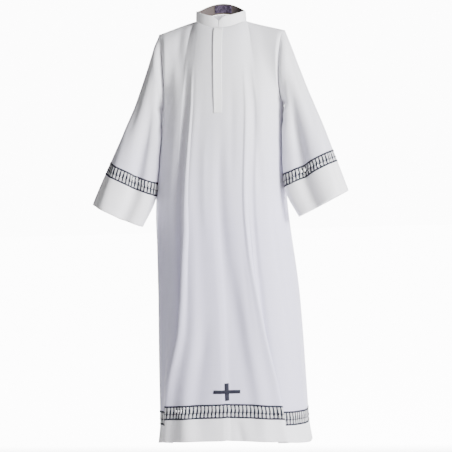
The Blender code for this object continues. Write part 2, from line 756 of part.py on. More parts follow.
def sleeve_fold(station, around):
    """How far the sleeve's soft folds move the cloth out."""
    total = 0.0
    for fold in SLEEVE_FOLDS:
        centre = fold["from"] + (fold["to"] - fold["from"]) * station
        away = (around - centre + 180) % 360 - 180
        grown = smooth_step(SLEEVE_FOLD_STARTS, SLEEVE_FOLD_FULL, station)
        total += fold["depth"] * grown * math.exp(-((away / fold["half_width"]) ** 2))
    return total


def sleeve_point(station, around, side):
    """A point of a sleeve. around is 90 at the outer edge, 0 in front, -90 at the inner edge."""
    turn = math.radians(around)
    drop = side * SLEEVE_DROP * smooth_step(SLEEVE_DROP_STARTS, 1.0, station)
    outer_x = table_value(SLEEVE_STATION, SLEEVE_OUTER_X, station)
    outer_z = table_value(SLEEVE_STATION, SLEEVE_OUTER_Z, station)
    inner_x = table_value(SLEEVE_STATION, SLEEVE_INNER_X, station)
    inner_z = table_value(SLEEVE_STATION, SLEEVE_INNER_Z, station)
    outer = Vector((outer_x, 0, outer_z + drop))
    inner = Vector((inner_x, 0, inner_z + drop))
    front = table_value(SLEEVE_STATION, SLEEVE_FRONT_DEPTH, station)
    back = table_value(SLEEVE_STATION, SLEEVE_BACK_DEPTH, station)
    depth = front if math.cos(turn) > 0 else back
    fold = sleeve_fold(station, around)
    span = (outer - inner) / 2
    reach = 1 + fold / span.length
    point = (outer + inner) / 2 + span * (power(math.sin(turn), SLEEVE_ROUND) * reach)
    point.y = table_value(SLEEVE_STATION, SLEEVE_MIDDLE_Y, station)
    point.y -= (depth + fold) * power(math.cos(turn), SLEEVE_ROUND)
    point.x *= side
    return point


def armhole_seam(around, side):
    """A point of the sleeve's first ring, on the straight runs of the panels' edges."""
    front = math.cos(math.radians(around)) >= 0
    climb = 0.5 + (around if front else 180 - around) / 180
    rows = climbs()
    low = max(k for k in range(UPPER_ROWS) if rows[k] <= climb + 1e-9)
    share = (climb - rows[low]) * UPPER_ROWS
    start = armhole_point(rows[low], side, front)
    end = armhole_point(rows[low + 1], side, front)
    point = start.lerp(end, share)
    inward = (armhole_middle(side) - point).normalized()
    shift = Vector((side * 2 * SEAM_GAP, 0, 0))
    return point + shift, point + shift + inward * CLOTH


def sleeve_normal(station, around, side):
    """The outward direction on a sleeve."""
    low, high = max(0.0, station - 0.01), min(1.0, station + 0.01)
    along = sleeve_point(high, around, side) - sleeve_point(low, around, side)
    across = sleeve_point(station, around + 1, side) - sleeve_point(station, around - 1, side)
    return along.cross(across).normalized() * side


def sleeve_columns():
    """Ring angles of the sleeve's columns."""
    half = UPPER_ROWS * SLEEVE_COLUMNS_A_ROW
    return [-90 + 180 * i / half for i in range(2 * half)]


def sleeve_rows(stations, side, thickness, seamed):
    """Outer and inner rings of a stretch of sleeve, cuff end first."""
    outer, inner = [], []
    for station in reversed(stations):
        outer_row, inner_row = [], []
        for around in sleeve_columns():
            if seamed and station == stations[0]:
                point, under = armhole_seam(around, side)
            else:
                point = sleeve_point(station, around, side)
                under = point - sleeve_normal(station, around, side) * thickness
            outer_row.append(point)
            inner_row.append(under)
        if side < 0:
            outer_row.reverse()
            inner_row.reverse()
        outer.append(outer_row)
        inner.append(inner_row)
    return outer, inner


def sleeve_gap_share():
    """Station share that one lace seam gap takes along the sleeve."""
    run = sleeve_point(SLEEVE_BAND_BOTTOM, 0, 1) - sleeve_point(SLEEVE_BAND_TOP, 0, 1)
    return (SLEEVE_BAND_BOTTOM - SLEEVE_BAND_TOP) * LACE_SEAM_GAP / run.length


def build_sleeve(side, name, cloth, lace):
    """One sleeve: the tube, its openwork band in two halves, and the cuff."""
    gap = sleeve_gap_share() / 2
    stations = SLEEVE_RINGS[:-1] + (SLEEVE_BAND_TOP - gap,)
    outer, inner = sleeve_rows(stations, side, CLOTH, True)
    tube_wall("sleeve_" + name, outer, inner, cloth)

    cuff_stations = (SLEEVE_BAND_BOTTOM + gap, CUFF_MIDDLE, 1.0)
    outer, inner = sleeve_rows(cuff_stations, side, DOUBLE_CLOTH, False)
    tube_wall("cuff_" + name, outer, inner, cloth)

    def lace_place(around, share):
        """Outer and inner points of the sleeve's band, 0 at its cuff edge."""
        low, high = SLEEVE_BAND_BOTTOM - gap, SLEEVE_BAND_TOP + gap
        station = low + (high - low) * share
        point = sleeve_point(station, around, side)
        return point, point - sleeve_normal(station, around, side) * CLOTH

    edge = math.degrees(SEAM_GAP / 2 / table_value(SLEEVE_STATION, SLEEVE_FRONT_DEPTH, 0.75))
    for half, start in (("front", -90.0), ("back", 90.0)):
        first, last = start + edge, start + 180 - edge
        if side < 0:
            first, last = last, first
        lace_wall(f"sleeve_lace_{half}_{name}", lace_place, [(first, last, None)], lace)


# Collar

def neck_edge_angles():
    """Neck angles, -90 to 270, where the body panels have a column."""
    front = [2 * c for c in front_columns(False) if abs(c) < NECK_TURNS]
    back = [2 * c - 180 for c in back_columns(False) if abs(c - 180) < NECK_TURNS]
    return sorted(front + back + [-90.0, 90.0, 270.0])


def neck_seam_point(angle):
    """The neckline on the straight runs of the panels' edges, with the seam's gap."""
    angles = neck_edge_angles()
    turn = angle - 360 if angle > 270 else angle
    i = max(0, min(len(angles) - 2, sum(1 for a in angles if a <= turn) - 1))
    share = (turn - angles[i]) / (angles[i + 1] - angles[i])
    point = neck_point(angles[i]).lerp(neck_point(angles[i + 1]), share)
    return point + Vector((0, 0, SEAM_GAP))


def collar_height(angle):
    """Height of the collar above the neckline, without the notch."""
    cosine = math.cos(math.radians(angle))
    extra = COLLAR_FRONT_EXTRA if cosine > 0 else COLLAR_BACK_EXTRA
    return COLLAR_SIDE_HEIGHT + extra * cosine**2


def collar_point(angle, share):
    """Outer and inner points of the collar, 0 at its base and 1 at its top edge."""
    base = neck_seam_point(angle)
    ahead = neck_point(angle + 1) - neck_point(angle - 1)
    outward = Vector((ahead.y, -ahead.x, 0)).normalized()
    height = collar_height(angle)
    from_split = abs(base.x) if math.cos(math.radians(angle)) > 0 else 1.0
    cut = max(0.0, 1 - from_split / COLLAR_NOTCH_HALF_WIDTH)
    height -= COLLAR_NOTCH_DEPTH * cut**COLLAR_NOTCH_POWER
    point = base + Vector((0, 0, height * share)) - outward * COLLAR_LEAN * share
    return point, point - outward * COLLAR_CLOTH


def collar_angles():
    """Neck angles of the collar's columns, from one end of the split round to the other."""
    half = [COLLAR_SPLIT_ANGLE] + list(COLLAR_NOTCH_ANGLES)
    half += [a for a in neck_edge_angles() if COLLAR_NOTCH_ANGLES[-1] < a < 180.0]
    return half + [180.0] + [360 - a for a in reversed(half)]


def build_collar(cloth):
    """The stand collar, open at the centre front."""
    outer, inner = [], []
    for share in (0.0, 0.5, 1.0):
        pairs = [collar_point(angle, share) for angle in collar_angles()]
        outer.append([pair[0] for pair in pairs])
        inner.append([pair[1] for pair in pairs])
    sheet_wall("collar", [collar_angles()] * 3, outer, inner, cloth)


def build_label(woven):
    """The bare woven label inside the back of the collar."""
    angles = [a for a in collar_angles() if abs(a - 180) < LABEL_HALF_ANGLE]
    angles = [180 - LABEL_HALF_ANGLE] + angles + [180 + LABEL_HALF_ANGLE]
    outer, inner = [], []
    for share in (LABEL_BOTTOM, LABEL_TOP):
        outer_row, inner_row = [], []
        for angle in angles:
            out, face = collar_point(angle, share)
            inward = (face - out).normalized()
            outer_row.append(face + inward * SEAM_GAP)
            inner_row.append(face + inward * (SEAM_GAP + LABEL_THICKNESS))
        outer.append(inner_row)
        inner.append(outer_row)
    sheet_wall("neck_label", [angles] * 2, inner, outer, woven)


# What lies on the front

def build_placket(cloth):
    """The fly strip over the neck slit, made from the panel's own points, moved out."""
    columns = [-PLACKET_EDGE_ANGLE, 0.0, PLACKET_EDGE_ANGLE]
    rows = [PLACKET_END_Z] + climbs()
    outer, inner = [], []
    for row in rows:
        normals = [body_normal(c, row) for c in columns]
        points = [body_point(c, row) for c in columns]
        inner.append([p + n * SEAM_GAP for p, n in zip(points, normals)])
        outer.append([p + n * (SEAM_GAP + CLOTH) for p, n in zip(points, normals)])
    for grid in (outer, inner):
        grid[-1] = [low.lerp(high, PLACKET_TOP) for low, high in zip(grid[-2], grid[-1])]
    sheet_wall("placket", [columns] * len(rows), outer, inner, cloth)


def cloth_angle_at(x, z):
    """The cloth angle of the front where the surface has this x."""
    low, high = -SEARCH_TURN, SEARCH_TURN
    for _ in range(SEARCH_STEPS):
        middle = (low + high) / 2
        if lower_point(middle, z).x < x:
            low = middle
        else:
            high = middle
    return (low + high) / 2


def panel_place(cloth, z):
    """A point and direction on the front panel's straight runs below its last fine row."""
    columns = front_columns()
    i = max(k for k in range(len(columns) - 1) if columns[k] <= cloth)
    share = (cloth - columns[i]) / (columns[i + 1] - columns[i])
    ends = []
    for column in columns[i:i + 2]:
        high, low = FINE_ROW_HEIGHTS[-1], band_top(column)
        top, bottom = lower_point(column, high), lower_point(column, low)
        ends.append(top.lerp(bottom, (z - high) / (low - high)))
    return ends[0].lerp(ends[1], share), body_normal(cloth, z)


def build_cross(thread):
    """The cross sewn on the front above the band."""
    zs = [CROSS_Z - CROSS_HALF_HEIGHT, CROSS_Z - CROSS_BAR_HALF]
    zs += [CROSS_Z + CROSS_BAR_HALF, CROSS_Z + CROSS_HALF_HEIGHT]
    ends = [cloth_angle_at(CROSS_X + x, CROSS_Z) for x in (-CROSS_HALF_WIDTH, CROSS_HALF_WIDTH)]
    uprights = [cloth_angle_at(CROSS_X + x, CROSS_Z) for x in (-CROSS_UPRIGHT_HALF, CROSS_UPRIGHT_HALF)]
    between = [c for c in front_columns() if ends[0] + 1 < c < ends[1] - 1]
    angles = sorted(ends + uprights + between)
    first, last = angles.index(uprights[0]), angles.index(uprights[1])
    index, outer, inner, faces = {}, [], [], []

    def corner(i, j):
        """The index of one corner, made when first asked for."""
        if (i, j) not in index:
            point, normal = panel_place(angles[i], zs[j])
            index[(i, j)] = len(outer)
            outer.append(point + normal * (CROSS_LIFT + CROSS_THICKNESS))
            inner.append(point + normal * CROSS_LIFT)
        return index[(i, j)]

    cells = [(i, 1) for i in range(len(angles) - 1)]
    cells += [(i, j) for i in range(first, last) for j in (0, 2)]
    for i, j in cells:
        faces.append([corner(i, j), corner(i + 1, j), corner(i + 1, j + 1), corner(i, j + 1)])
    make_wall("cross", outer, inner, faces, thread)


def make_wire(name, points, radius, material):
    """A bent wire as a closed mesh."""
    curve = bpy.data.curves.new(name, "CURVE")
    curve.dimensions = "3D"
    curve.bevel_depth = radius
    curve.bevel_resolution = 2
    curve.use_fill_caps = True
    spline = curve.splines.new("POLY")
    spline.points.add(len(points) - 1)
    for knot, point in zip(spline.points, points):
        knot.co = (*settle(Vector(point)), 1.0)
    curve.materials.append(material)
    made = bpy.data.objects.new(name, curve)
    bpy.data.collections["alb_robe"].objects.link(made)
    return made


def build_fastener(metal):
    """The collar's hook, on the wearer's left end, and its eye, on the right end."""
    face = collar_point(COLLAR_SPLIT_ANGLE, FASTENER_SHARE)[1]
    depth = face.y + WIRE_RADIUS + SEAM_GAP
    height = NECK_SIDE_Z - NECK_FRONT_DROP + FASTENER_HEIGHT
    eye = []
    for i in range(EYE_STEPS + 1):
        turn = math.radians(EYE_GAP_ANGLE * (1 - 2 * i / EYE_STEPS))
        x = EYE_X + EYE_HALF_WIDTH * math.cos(turn)
        eye.append((x, depth, height + EYE_HALF_HEIGHT * math.sin(turn)))
    make_wire("collar_eye", eye, WIRE_RADIUS, metal)
    reach = 2 * WIRE_RADIUS + SEAM_GAP
    hook = [(x, depth + reach, height) for x in HOOK_X]
    make_wire("collar_hook", hook, WIRE_RADIUS, metal)


def main():
    """Build the robe."""
    clear_scene()
    collection = bpy.data.collections.new("alb_robe")
    bpy.context.scene.collection.children.link(collection)
    cloth = make_material("white_cloth", WHITE_CLOTH, 0.75)
    lace = make_material("openwork_lace", LACE_WHITE, 0.80)
    thread = make_material("navy_thread", NAVY_THREAD, 0.60)
    woven = make_material("woven_label", LABEL_PURPLE, 0.60)
    metal = make_material("fastener_steel", STEEL, 0.35, 1.0)
    build_body(cloth)
    build_hem(cloth, lace)
    build_sleeve(1, "left", cloth, lace)
    build_sleeve(-1, "right", cloth, lace)
    build_collar(cloth)
    build_label(woven)
    build_placket(cloth)
    build_cross(thread)
    build_fastener(metal)


main()
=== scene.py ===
"""Looks of the alb robe: its cloth, openwork bands, embroidery and stitching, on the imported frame.

Metres, +Z up, +X to the wearer's left, and the front faces -Y.
A place on the body is a cloth angle (0 centre front, 90 the wearer's left side seam, 180 centre
back) and a height; above the underarm the height climbs along the cloth to the neck and shoulders.
A place on a sleeve is an angle round it (90 outer edge, 0 front, -90 inner edge) and a station.
"""

import logging
import math
from collections.abc import Callable, Sequence
from dataclasses import dataclass
from enum import Enum

import bpy
import numpy as np
from mathutils import Matrix, Vector


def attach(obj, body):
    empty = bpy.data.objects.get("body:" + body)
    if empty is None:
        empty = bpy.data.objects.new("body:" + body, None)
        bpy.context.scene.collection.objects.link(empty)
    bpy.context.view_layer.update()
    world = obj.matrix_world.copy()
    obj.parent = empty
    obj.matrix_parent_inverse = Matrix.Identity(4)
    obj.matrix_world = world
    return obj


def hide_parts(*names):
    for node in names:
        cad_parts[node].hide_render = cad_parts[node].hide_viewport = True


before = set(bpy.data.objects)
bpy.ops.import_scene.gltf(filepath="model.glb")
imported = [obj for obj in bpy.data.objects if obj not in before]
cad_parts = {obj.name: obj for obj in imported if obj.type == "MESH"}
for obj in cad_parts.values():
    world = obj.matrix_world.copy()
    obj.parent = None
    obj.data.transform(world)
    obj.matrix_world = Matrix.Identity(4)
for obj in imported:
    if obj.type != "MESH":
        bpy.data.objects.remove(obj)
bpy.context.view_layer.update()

log = logging.getLogger("alb_robe")

MM = 0.001
BODY = "root"

UNDERARM_Z = -0.300
CLIMB_HEIGHT = 0.270
PLACKET_END_Z = -0.334
SEAM_GAP = 0.3 * MM
DEGREE = 0.0053
SHOULDER_DEGREE = 0.0040
SLEEVE_DEGREE = 0.00125
SLEEVE_LENGTH = 0.60
CLIMB_TOP = UNDERARM_Z + CLIMB_HEIGHT
CREASE_FADE = 0.35
STITCH_SEED = 11
BODY_Z = (-1.478, -1.2, -0.98, -0.645, -0.3)

Array = np.ndarray


class Curve:
    """A smooth curve through a short table of sizes, which never overshoots them."""

    def __init__(self, stops: Sequence[float], values: Sequence[float]) -> None:
        """Work out the slopes at the table's rows.

        Args:
            stops: Places of the rows, rising.
            values: The size at each row.
        """
        self.stops = np.array(stops, float)
        self.values = np.array(values, float)
        rises = np.diff(self.values) / np.diff(self.stops)
        before, after = rises[:-1], rises[1:]
        total = np.where(before * after > 0, before + after, 1.0)
        inner = np.where(before * after > 0, 2 * before * after / total, 0.0)
        self.slopes = np.concatenate((rises[:1], inner, rises[-1:]))

    def __call__(self, at: Array | float) -> Array:
        """The size at any place.

        Args:
            at: Places to read, any shape.

        Returns:
            Sizes of the same shape.
        """
        at = np.clip(np.asarray(at, float), self.stops[0], self.stops[-1])
        i = np.clip(np.searchsorted(self.stops, at, side="right") - 1, 0, len(self.stops) - 2)
        step = self.stops[i + 1] - self.stops[i]
        t = (at - self.stops[i]) / step
        leave, arrive = self.slopes[i] * step, self.slopes[i + 1] * step
        start = (2 * t**3 - 3 * t**2 + 1) * self.values[i] + (t**3 - 2 * t**2 + t) * leave
        return start + (3 * t**2 - 2 * t**3) * self.values[i + 1] + (t**3 - t**2) * arrive


def smooth_step(low: float, high: float, at: Array | float) -> Array:
    """0 at low, 1 at high, and smooth between.

    Args:
        low: Where it is 0.
        high: Where it is 1; it may be below low.
        at: Places to read.

    Returns:
        Shares from 0 to 1.
    """
    t = np.clip((np.asarray(at, float) - low) / (high - low), 0.0, 1.0)
    return t * t * (3 - 2 * t)


def signed_power(base: Array, exponent: Array | float) -> Array:
    """A power that keeps the sign of its base."""
    return np.copysign(np.abs(base) ** exponent, base)


def wrapped(angle: Array | float) -> Array:
    """An angle in degrees brought between -180 and 180."""
    return (np.asarray(angle, float) + 180) % 360 - 180


def matched(first: Array | float, second: Array | float) -> Sequence[Array]:
    """Two sets of numbers as arrays of one shape."""
    return np.broadcast_arrays(np.asarray(first, float), np.asarray(second, float))


def sine_cosine(degrees: Array | float) -> tuple[Array, Array]:
    """Sine and cosine of angles in degrees."""
    return np.sin(np.radians(degrees)), np.cos(np.radians(degrees))


def bell(away: Array, half_width: Array | float) -> Array:
    """1 in the middle and softly down to 0 on both sides."""
    return np.exp(-((away / half_width) ** 2))


def stack(x: Array | float, y: Array | float, z: Array | float) -> Array:
    """Points from their three coordinates, each spread to the same shape."""
    return np.stack(np.broadcast_arrays(x, y, z), axis=-1)


def unit(vectors: Array) -> Array:
    """Directions of length 1."""
    return vectors / np.maximum(np.linalg.norm(vectors, axis=-1, keepdims=True), 1e-12)


def beside(ahead: Array) -> Array:
    """Level directions to the right of a path's steps."""
    return unit(stack(ahead[..., 1], -ahead[..., 0], 0.0))


@dataclass(frozen=True)
class Crease:
    """A soft trough (negative depth) or ridge along a slightly bowed line of the cloth."""

    start: tuple[float, float]
    end: tuple[float, float]
    half_width: float
    depth: float
    bow: float = 0.0

    def relief(self, turn: Array, along: Array, metres: tuple[float, float]) -> Array:
        """How far this crease moves the cloth out.

        Args:
            turn: Angles round the piece, in degrees.
            along: Places along the piece.
            metres: Metres for each degree of turn and for each unit along.

        Returns:
            The height of the relief, in metres.
        """
        run_x = wrapped(self.end[0] - self.start[0]) * metres[0]
        run_y = (self.end[1] - self.start[1]) * metres[1]
        x = wrapped(turn - self.start[0]) * metres[0]
        y = (along - self.start[1]) * metres[1]
        length = math.hypot(run_x, run_y)
        t = (x * run_x + y * run_y) / length**2
        aside = (x * run_y - y * run_x) / length - self.bow * 4 * t * (1 - t)
        fade = smooth_step(0.0, CREASE_FADE, t) * smooth_step(1.0, 1 - CREASE_FADE, t)
        return self.depth * fade * bell(aside, self.half_width)


def total_relief(
    creases: Sequence[Crease], turn: Array, along: Array, metres: tuple[float, float]
) -> Array:
    """The relief of all the creases of one piece.

    Args:
        creases: The piece's creases.
        turn: Angles round the piece, in degrees.
        along: Places along the piece.
        metres: Metres for each degree of turn and for each unit along.

    Returns:
        The height of the relief, in metres.
    """
    turn, along = matched(turn, along)
    total = np.zeros(turn.shape)
    for crease in creases:
        total = total + crease.relief(turn, along, metres)
    return total


@dataclass(frozen=True)
class Fold:
    """A roll or trough down the lower body, at one cloth angle."""

    at: float
    half_width: float
    depth: float
    fades_z: float


@dataclass
class RobeForm:
    """The surface of the robe's body, from the hem to the neck and shoulders."""

    half_width: Curve = Curve(BODY_Z, (0.262, 0.256, 0.249, 0.229, 0.21))
    front_depth: Curve = Curve(BODY_Z, (0.182, 0.174, 0.166, 0.148, 0.128))
    back_depth: Curve = Curve(BODY_Z, (0.205, 0.19, 0.176, 0.146, 0.118))
    squareness: Curve = Curve(BODY_Z, (2.6, 2.52, 2.45, 2.35, 2.3))
    pleat_z: tuple[float, ...] = (-1.478, -1.33, -1.06, -0.845, -0.715, -0.39, -0.3)
    pleat_span: float = 16.0
    front_pleat_at: float = 35.0
    back_pleat_at: float = 145.0
    left_angle: tuple[float, ...] = (41.0, 37.2, 27.5, 24.0, 24.5, 27.0, 27.0)
    right_angle: tuple[float, ...] = (52.0, 48.5, 30.5, 28.0, 26.0, 27.0, 27.0)
    front_sweep: tuple[float, ...] = (9.0, 8.2, 4.2, 1.6, 0.6, 0.0, 0.0)
    front_rise: tuple[float, ...] = (0.0105, 0.0105, 0.010, 0.009, 0.008, 0.006, 0.004)
    back_angle: tuple[float, ...] = (137.0, 139.0, 144.0, 147.0, 149.0, 152.0, 152.0)
    back_sweep: tuple[float, ...] = (4.0, 3.4, 1.8, 0.9, 0.4, 0.0, 0.0)
    back_rise: tuple[float, ...] = (0.015, 0.014, 0.012, 0.010, 0.008, 0.005, 0.004)
    left_pleat_share: float = 0.55
    pleat_ease: float = 0.22
    pleat_flatness: tuple[float, float] = (0.10, 0.045)
    pleat_fades: float = 0.45
    fold_growth: float = 0.75
    placket_half_width: float = 0.0143
    placket_angle: float = 5.0
    hem_angles: tuple[float, ...] = (0, 20, 31, 42, 90, 130, 152, 180)
    band_top_z: tuple[float, ...] = (-1.325, -1.3305, -1.338, -1.359, -1.366, -1.361, -1.35, -1.346)
    hem_edge_z: tuple[float, ...] = (-1.445, -1.451, -1.456, -1.461, -1.476, -1.474, -1.468, -1.464)
    band_height: float = 0.040
    hem_flare: float = 0.008
    hem_flare_power: float = 1.6
    neck_half_width: float = 0.0885
    neck_depths: tuple[float, float] = (0.066, 0.062)
    neck_side_z: float = -0.008
    neck_drop: float = 0.029
    neck_rise: float = 0.030
    neck_turns: float = 45.0
    shoulder: tuple[float, float, float] = (0.222, 0.004, -0.047)
    armhole_depths: tuple[float, float] = (0.078, 0.086)
    armhole_insets: tuple[float, float] = (0.014, 0.006)
    armhole_pull_from: float = 38.0
    armhole_pull_power: float = 1.6
    chest_rounding: tuple[float, float] = (0.75, 0.6)
    shoulder_tilt: float = 0.016
    shoulder_tilt_z: tuple[float, float] = (-0.45, -0.10)
    neck_tilt: float = 0.030
    neck_tilt_z: tuple[float, float] = (-0.20, -0.05)
    hang: Curve = Curve((-1.478, -0.98, -0.645, -0.3), (0.0, -0.0055, -0.0185, 0.0))
    folds: tuple[Fold, ...] = (
        Fold(5.5, 6.5, -0.008, -0.25),
        Fold(13.0, 6.0, -0.002, -0.45),
        Fold(21.0, 5.0, 0.003, -0.60),
        Fold(-12.0, 7.0, -0.003, -0.70),
        Fold(-22.0, 5.0, 0.007, -0.40),
        Fold(-60.0, 9.0, -0.009, -0.10),
        Fold(66.0, 10.0, -0.006, -0.30),
        Fold(112.0, 8.0, -0.011, -0.35),
        Fold(-114.0, 8.0, -0.010, -0.30),
        Fold(168.0, 6.0, -0.010, -0.30),
        Fold(180.0, 5.0, 0.006, -0.40),
        Fold(-167.0, 6.0, -0.009, -0.50),
    )
    creases: tuple[Crease, ...] = (
        Crease((-35.0, -0.15), (-44.0, -0.85), 0.034, -0.0060, 0.006),
        Crease((-24.0, -0.17), (-27.0, -0.80), 0.026, 0.0040, 0.004),
        Crease((-64.0, -0.05), (-40.0, -0.28), 0.030, -0.0050, 0.010),
        Crease((34.0, -0.16), (49.0, -0.70), 0.021, -0.0040, -0.004),
        Crease((50.0, -0.20), (42.0, -0.66), 0.020, 0.0022, 0.006),
        Crease((14.0, -0.20), (18.0, -0.62), 0.020, -0.0022, 0.004),
        Crease((4.0, -0.35), (8.0, -0.95), 0.026, -0.0034, 0.004),
        Crease((-56.0, -0.36), (-48.0, 0.10), 0.050, 0.0045, 0.004),
        Crease((54.0, -0.36), (48.0, 0.08), 0.050, 0.0035, -0.004),
        Crease((-88.0, -0.38), (-88.0, -0.82), 0.030, 0.0050),
        Crease((86.0, -0.28), (84.0, -0.66), 0.022, 0.0030, 0.003),
        Crease((-12.0, -0.38), (-9.0, -0.80), 0.018, 0.0022, 0.004),
        Crease((-29.0, -0.40), (-30.0, -1.50), 0.040, 0.0075, 0.004),
        Crease((-13.0, -1.00), (-16.0, -1.44), 0.020, -0.0050, 0.004),
        Crease((9.0, -0.80), (20.0, -1.56), 0.030, -0.0080, 0.004),
        Crease((29.0, -0.72), (28.0, -1.22), 0.014, 0.0026, 0.003),
        Crease((35.6, -0.58), (35.6, -1.42), 0.0034, -0.0032),
        Crease((-35.6, -0.62), (-35.6, -1.42), 0.0040, -0.0028),
        Crease((-21.0, -1.30), (-16.0, -1.62), 0.026, 0.0100, 0.002),
        Crease((-35.0, -1.28), (-34.0, -1.64), 0.022, -0.0100, 0.002),
        Crease((7.0, -1.35), (13.0, -1.58), 0.010, -0.0040, 0.002),
        Crease((58.0, -0.60), (62.0, -1.30), 0.015, -0.0050, 0.006),
        Crease((74.0, -0.80), (76.0, -1.44), 0.012, 0.0040, -0.004),
        Crease((64.0, -1.155), (80.0, -1.205), 0.006, -0.0020, 0.004),
        Crease((-50.0, -0.75), (-54.0, -1.40), 0.026, -0.0040, 0.006),
        Crease((-72.0, -0.50), (-70.0, -1.20), 0.014, 0.0045, -0.005),
        Crease((-80.0, -0.90), (-84.0, -1.40), 0.011, -0.0030, 0.003),
        Crease((150.0, -0.12), (162.0, -0.50), 0.016, -0.0034, 0.006),
        Crease((-148.0, -0.12), (-158.0, -0.55), 0.015, -0.0030, -0.006),
        Crease((128.0, -0.60), (124.0, -1.40), 0.016, 0.0050, 0.008),
        Crease((-126.0, -0.50), (-122.0, -1.35), 0.017, 0.0048, -0.006),
        Crease((100.0, -0.70), (98.0, -1.42), 0.013, -0.0040, 0.004),
        Crease((-99.0, -0.80), (-97.0, -1.40), 0.012, -0.0040, 0.004),
        Crease((174.0, -0.60), (172.0, -1.30), 0.013, 0.0030, 0.006),
        Crease((-175.0, -0.90), (-172.0, -1.44), 0.012, -0.0030, 0.004),
    )
    valley_depths: tuple[float, float] = (18.0 * MM, 13.0 * MM)
    valley_widths: tuple[float, float] = (20.0 * MM, 12.0 * MM)
    back_valley_share: float = 0.5
    seam_dip: float = 1.4 * MM
    seam_dip_width: float = 3.5 * MM
    seam_calm: tuple[float, float] = (9.0, 2.0)
    seam_calm_z: tuple[float, float] = (UNDERARM_Z - 0.02, UNDERARM_Z + 0.03)
    top_calm: float = 0.05
    seam_watch: float = 1.5
    probe_angle: float = 0.1
    probe_height: float = 0.004

    def __post_init__(self) -> None:
        """Make curves of the pleats' and the hem's tables."""
        angles = ("left_angle", "right_angle", "back_angle")
        names = (*angles, "front_sweep", "front_rise", "back_sweep", "back_rise")
        self.pleats = {name: Curve(self.pleat_z, getattr(self, name)) for name in names}
        self.band_top_at = Curve(self.hem_angles, self.band_top_z)
        self.hem_edge_at = Curve(self.hem_angles, self.hem_edge_z)

    def band_top(self, cloth: Array | float) -> Array:
        """Height of the openwork band's upper edge at a cloth angle."""
        return self.band_top_at(np.abs(wrapped(cloth)))

    def hem_edge(self, cloth: Array | float) -> Array:
        """Height of the robe's bottom edge at a cloth angle."""
        return self.hem_edge_at(np.abs(wrapped(cloth)))

    def ring(self, angle: Array, z: Array) -> Array:
        """The plain ring, a rounded rectangle, at turn angles and heights."""
        exponent = 2 / self.squareness(z)
        sine, cosine = sine_cosine(angle)
        depth = np.where(cosine > 0, self.front_depth(z), self.back_depth(z))
        x = self.half_width(z) * signed_power(sine, exponent)
        return stack(x, -depth * signed_power(cosine, exponent), z)

    def pleat(self, away: Array, centre: float, sweep: Array) -> tuple[Array, Array]:
        """Turn and rise of one pleat.

        Args:
            away: Cloth angles from the centre front.
            centre: The pleat's own cloth angle.
            sweep: How far it laps, in degrees.

        Returns:
            The added turn in degrees, and the rise, positive on the lapping fold.
        """
        place = np.clip((away - centre) / self.pleat_span + 0.5, 0, 1)
        turn = 2 * np.pi * place
        flatness = self.pleat_flatness[0] + self.pleat_flatness[1] * sweep
        eased = smooth_step(0.0, self.pleat_ease, place) * smooth_step(1.0, 1 - self.pleat_ease, place)
        return sweep * np.sin(turn), (np.sin(turn) + flatness * np.sin(2 * turn)) * eased

    def lower(self, cloth: Array, z: Array) -> Array:
        """The body's plain surface below the underarm."""
        side = np.where(wrapped(cloth) < 0, -1.0, 1.0)
        away = np.abs(wrapped(cloth))
        size = {name: curve(z) for name, curve in self.pleats.items()}
        share = self.placket_half_width / self.half_width(z)
        placket = np.degrees(np.arcsin(share ** (self.squareness(z) / 2)))
        knots = (0.0, self.placket_angle, self.front_pleat_at, 90.0, self.back_pleat_at, 180.0)
        front_angle = np.where(side > 0, size["left_angle"], size["right_angle"])
        turns = (0.0, placket, front_angle, 90.0, size["back_angle"], 180.0)
        turn = np.zeros(np.broadcast(cloth, z).shape)
        for low, high, first, last in zip(knots, knots[1:], turns, turns[1:]):
            run = (away - low) / (high - low)
            turn = np.where((away >= low) & (away <= high), first + (last - first) * run, turn)
        front_turn, front_rise = self.pleat(away, self.front_pleat_at, size["front_sweep"])
        back_turn, back_rise = self.pleat(away, self.back_pleat_at, size["back_sweep"])
        softened = np.where(side > 0, self.left_pleat_share, 1.0)
        out = front_rise * softened * size["front_rise"] - back_rise * size["back_rise"]
        line = self.band_top(cloth) - self.band_height
        below = np.clip((line - z) / (line - self.hem_edge(cloth)), 0, None)
        out = out + self.hem_flare * below**self.hem_flare_power
        for fold in self.folds:
            grown = smooth_step(fold.fades_z, fold.fades_z - self.fold_growth, z)
            out = out + fold.depth * grown * bell(wrapped(cloth - fold.at), fold.half_width)
        angle = side * (turn + front_turn + back_turn)
        ahead = self.ring(angle + 0.5, z) - self.ring(angle - 0.5, z)
        outward = beside(ahead)
        return self.ring(angle, z) + outward * out[..., None]

    def neck(self, angle: Array | float) -> Array:
        """The neckline: 0 at the front, 90 at the wearer's left, 180 at the back."""
        sine, cosine = sine_cosine(angle)
        front = cosine > 0
        depth = np.where(front, self.neck_depths[0], self.neck_depths[1])
        z = np.where(front, -self.neck_drop, self.neck_rise) * cosine**2 + self.neck_side_z
        return stack(self.neck_half_width * sine, self.shoulder[1] - depth * cosine, z)

    def top(self, cloth: Array) -> Array:
        """The body's top edge: the neckline, then the shoulder seam."""
        side, away = np.where(cloth < 0, -1.0, 1.0), np.abs(cloth)
        angle = np.where(away <= 90, 2 * away, 2 * away - 180)
        on_neck = self.neck(side * angle)
        share = np.clip((90 - np.abs(90 - away) - self.neck_turns) / (90 - self.neck_turns), 0, 1)
        start, tip = self.neck(90.0), np.array(self.shoulder)
        seam = start + (tip - start) * share[..., None]
        seam = seam * np.stack((side, np.ones_like(side), np.ones_like(side)), axis=-1)
        return np.where((share > 0)[..., None], seam, on_neck)

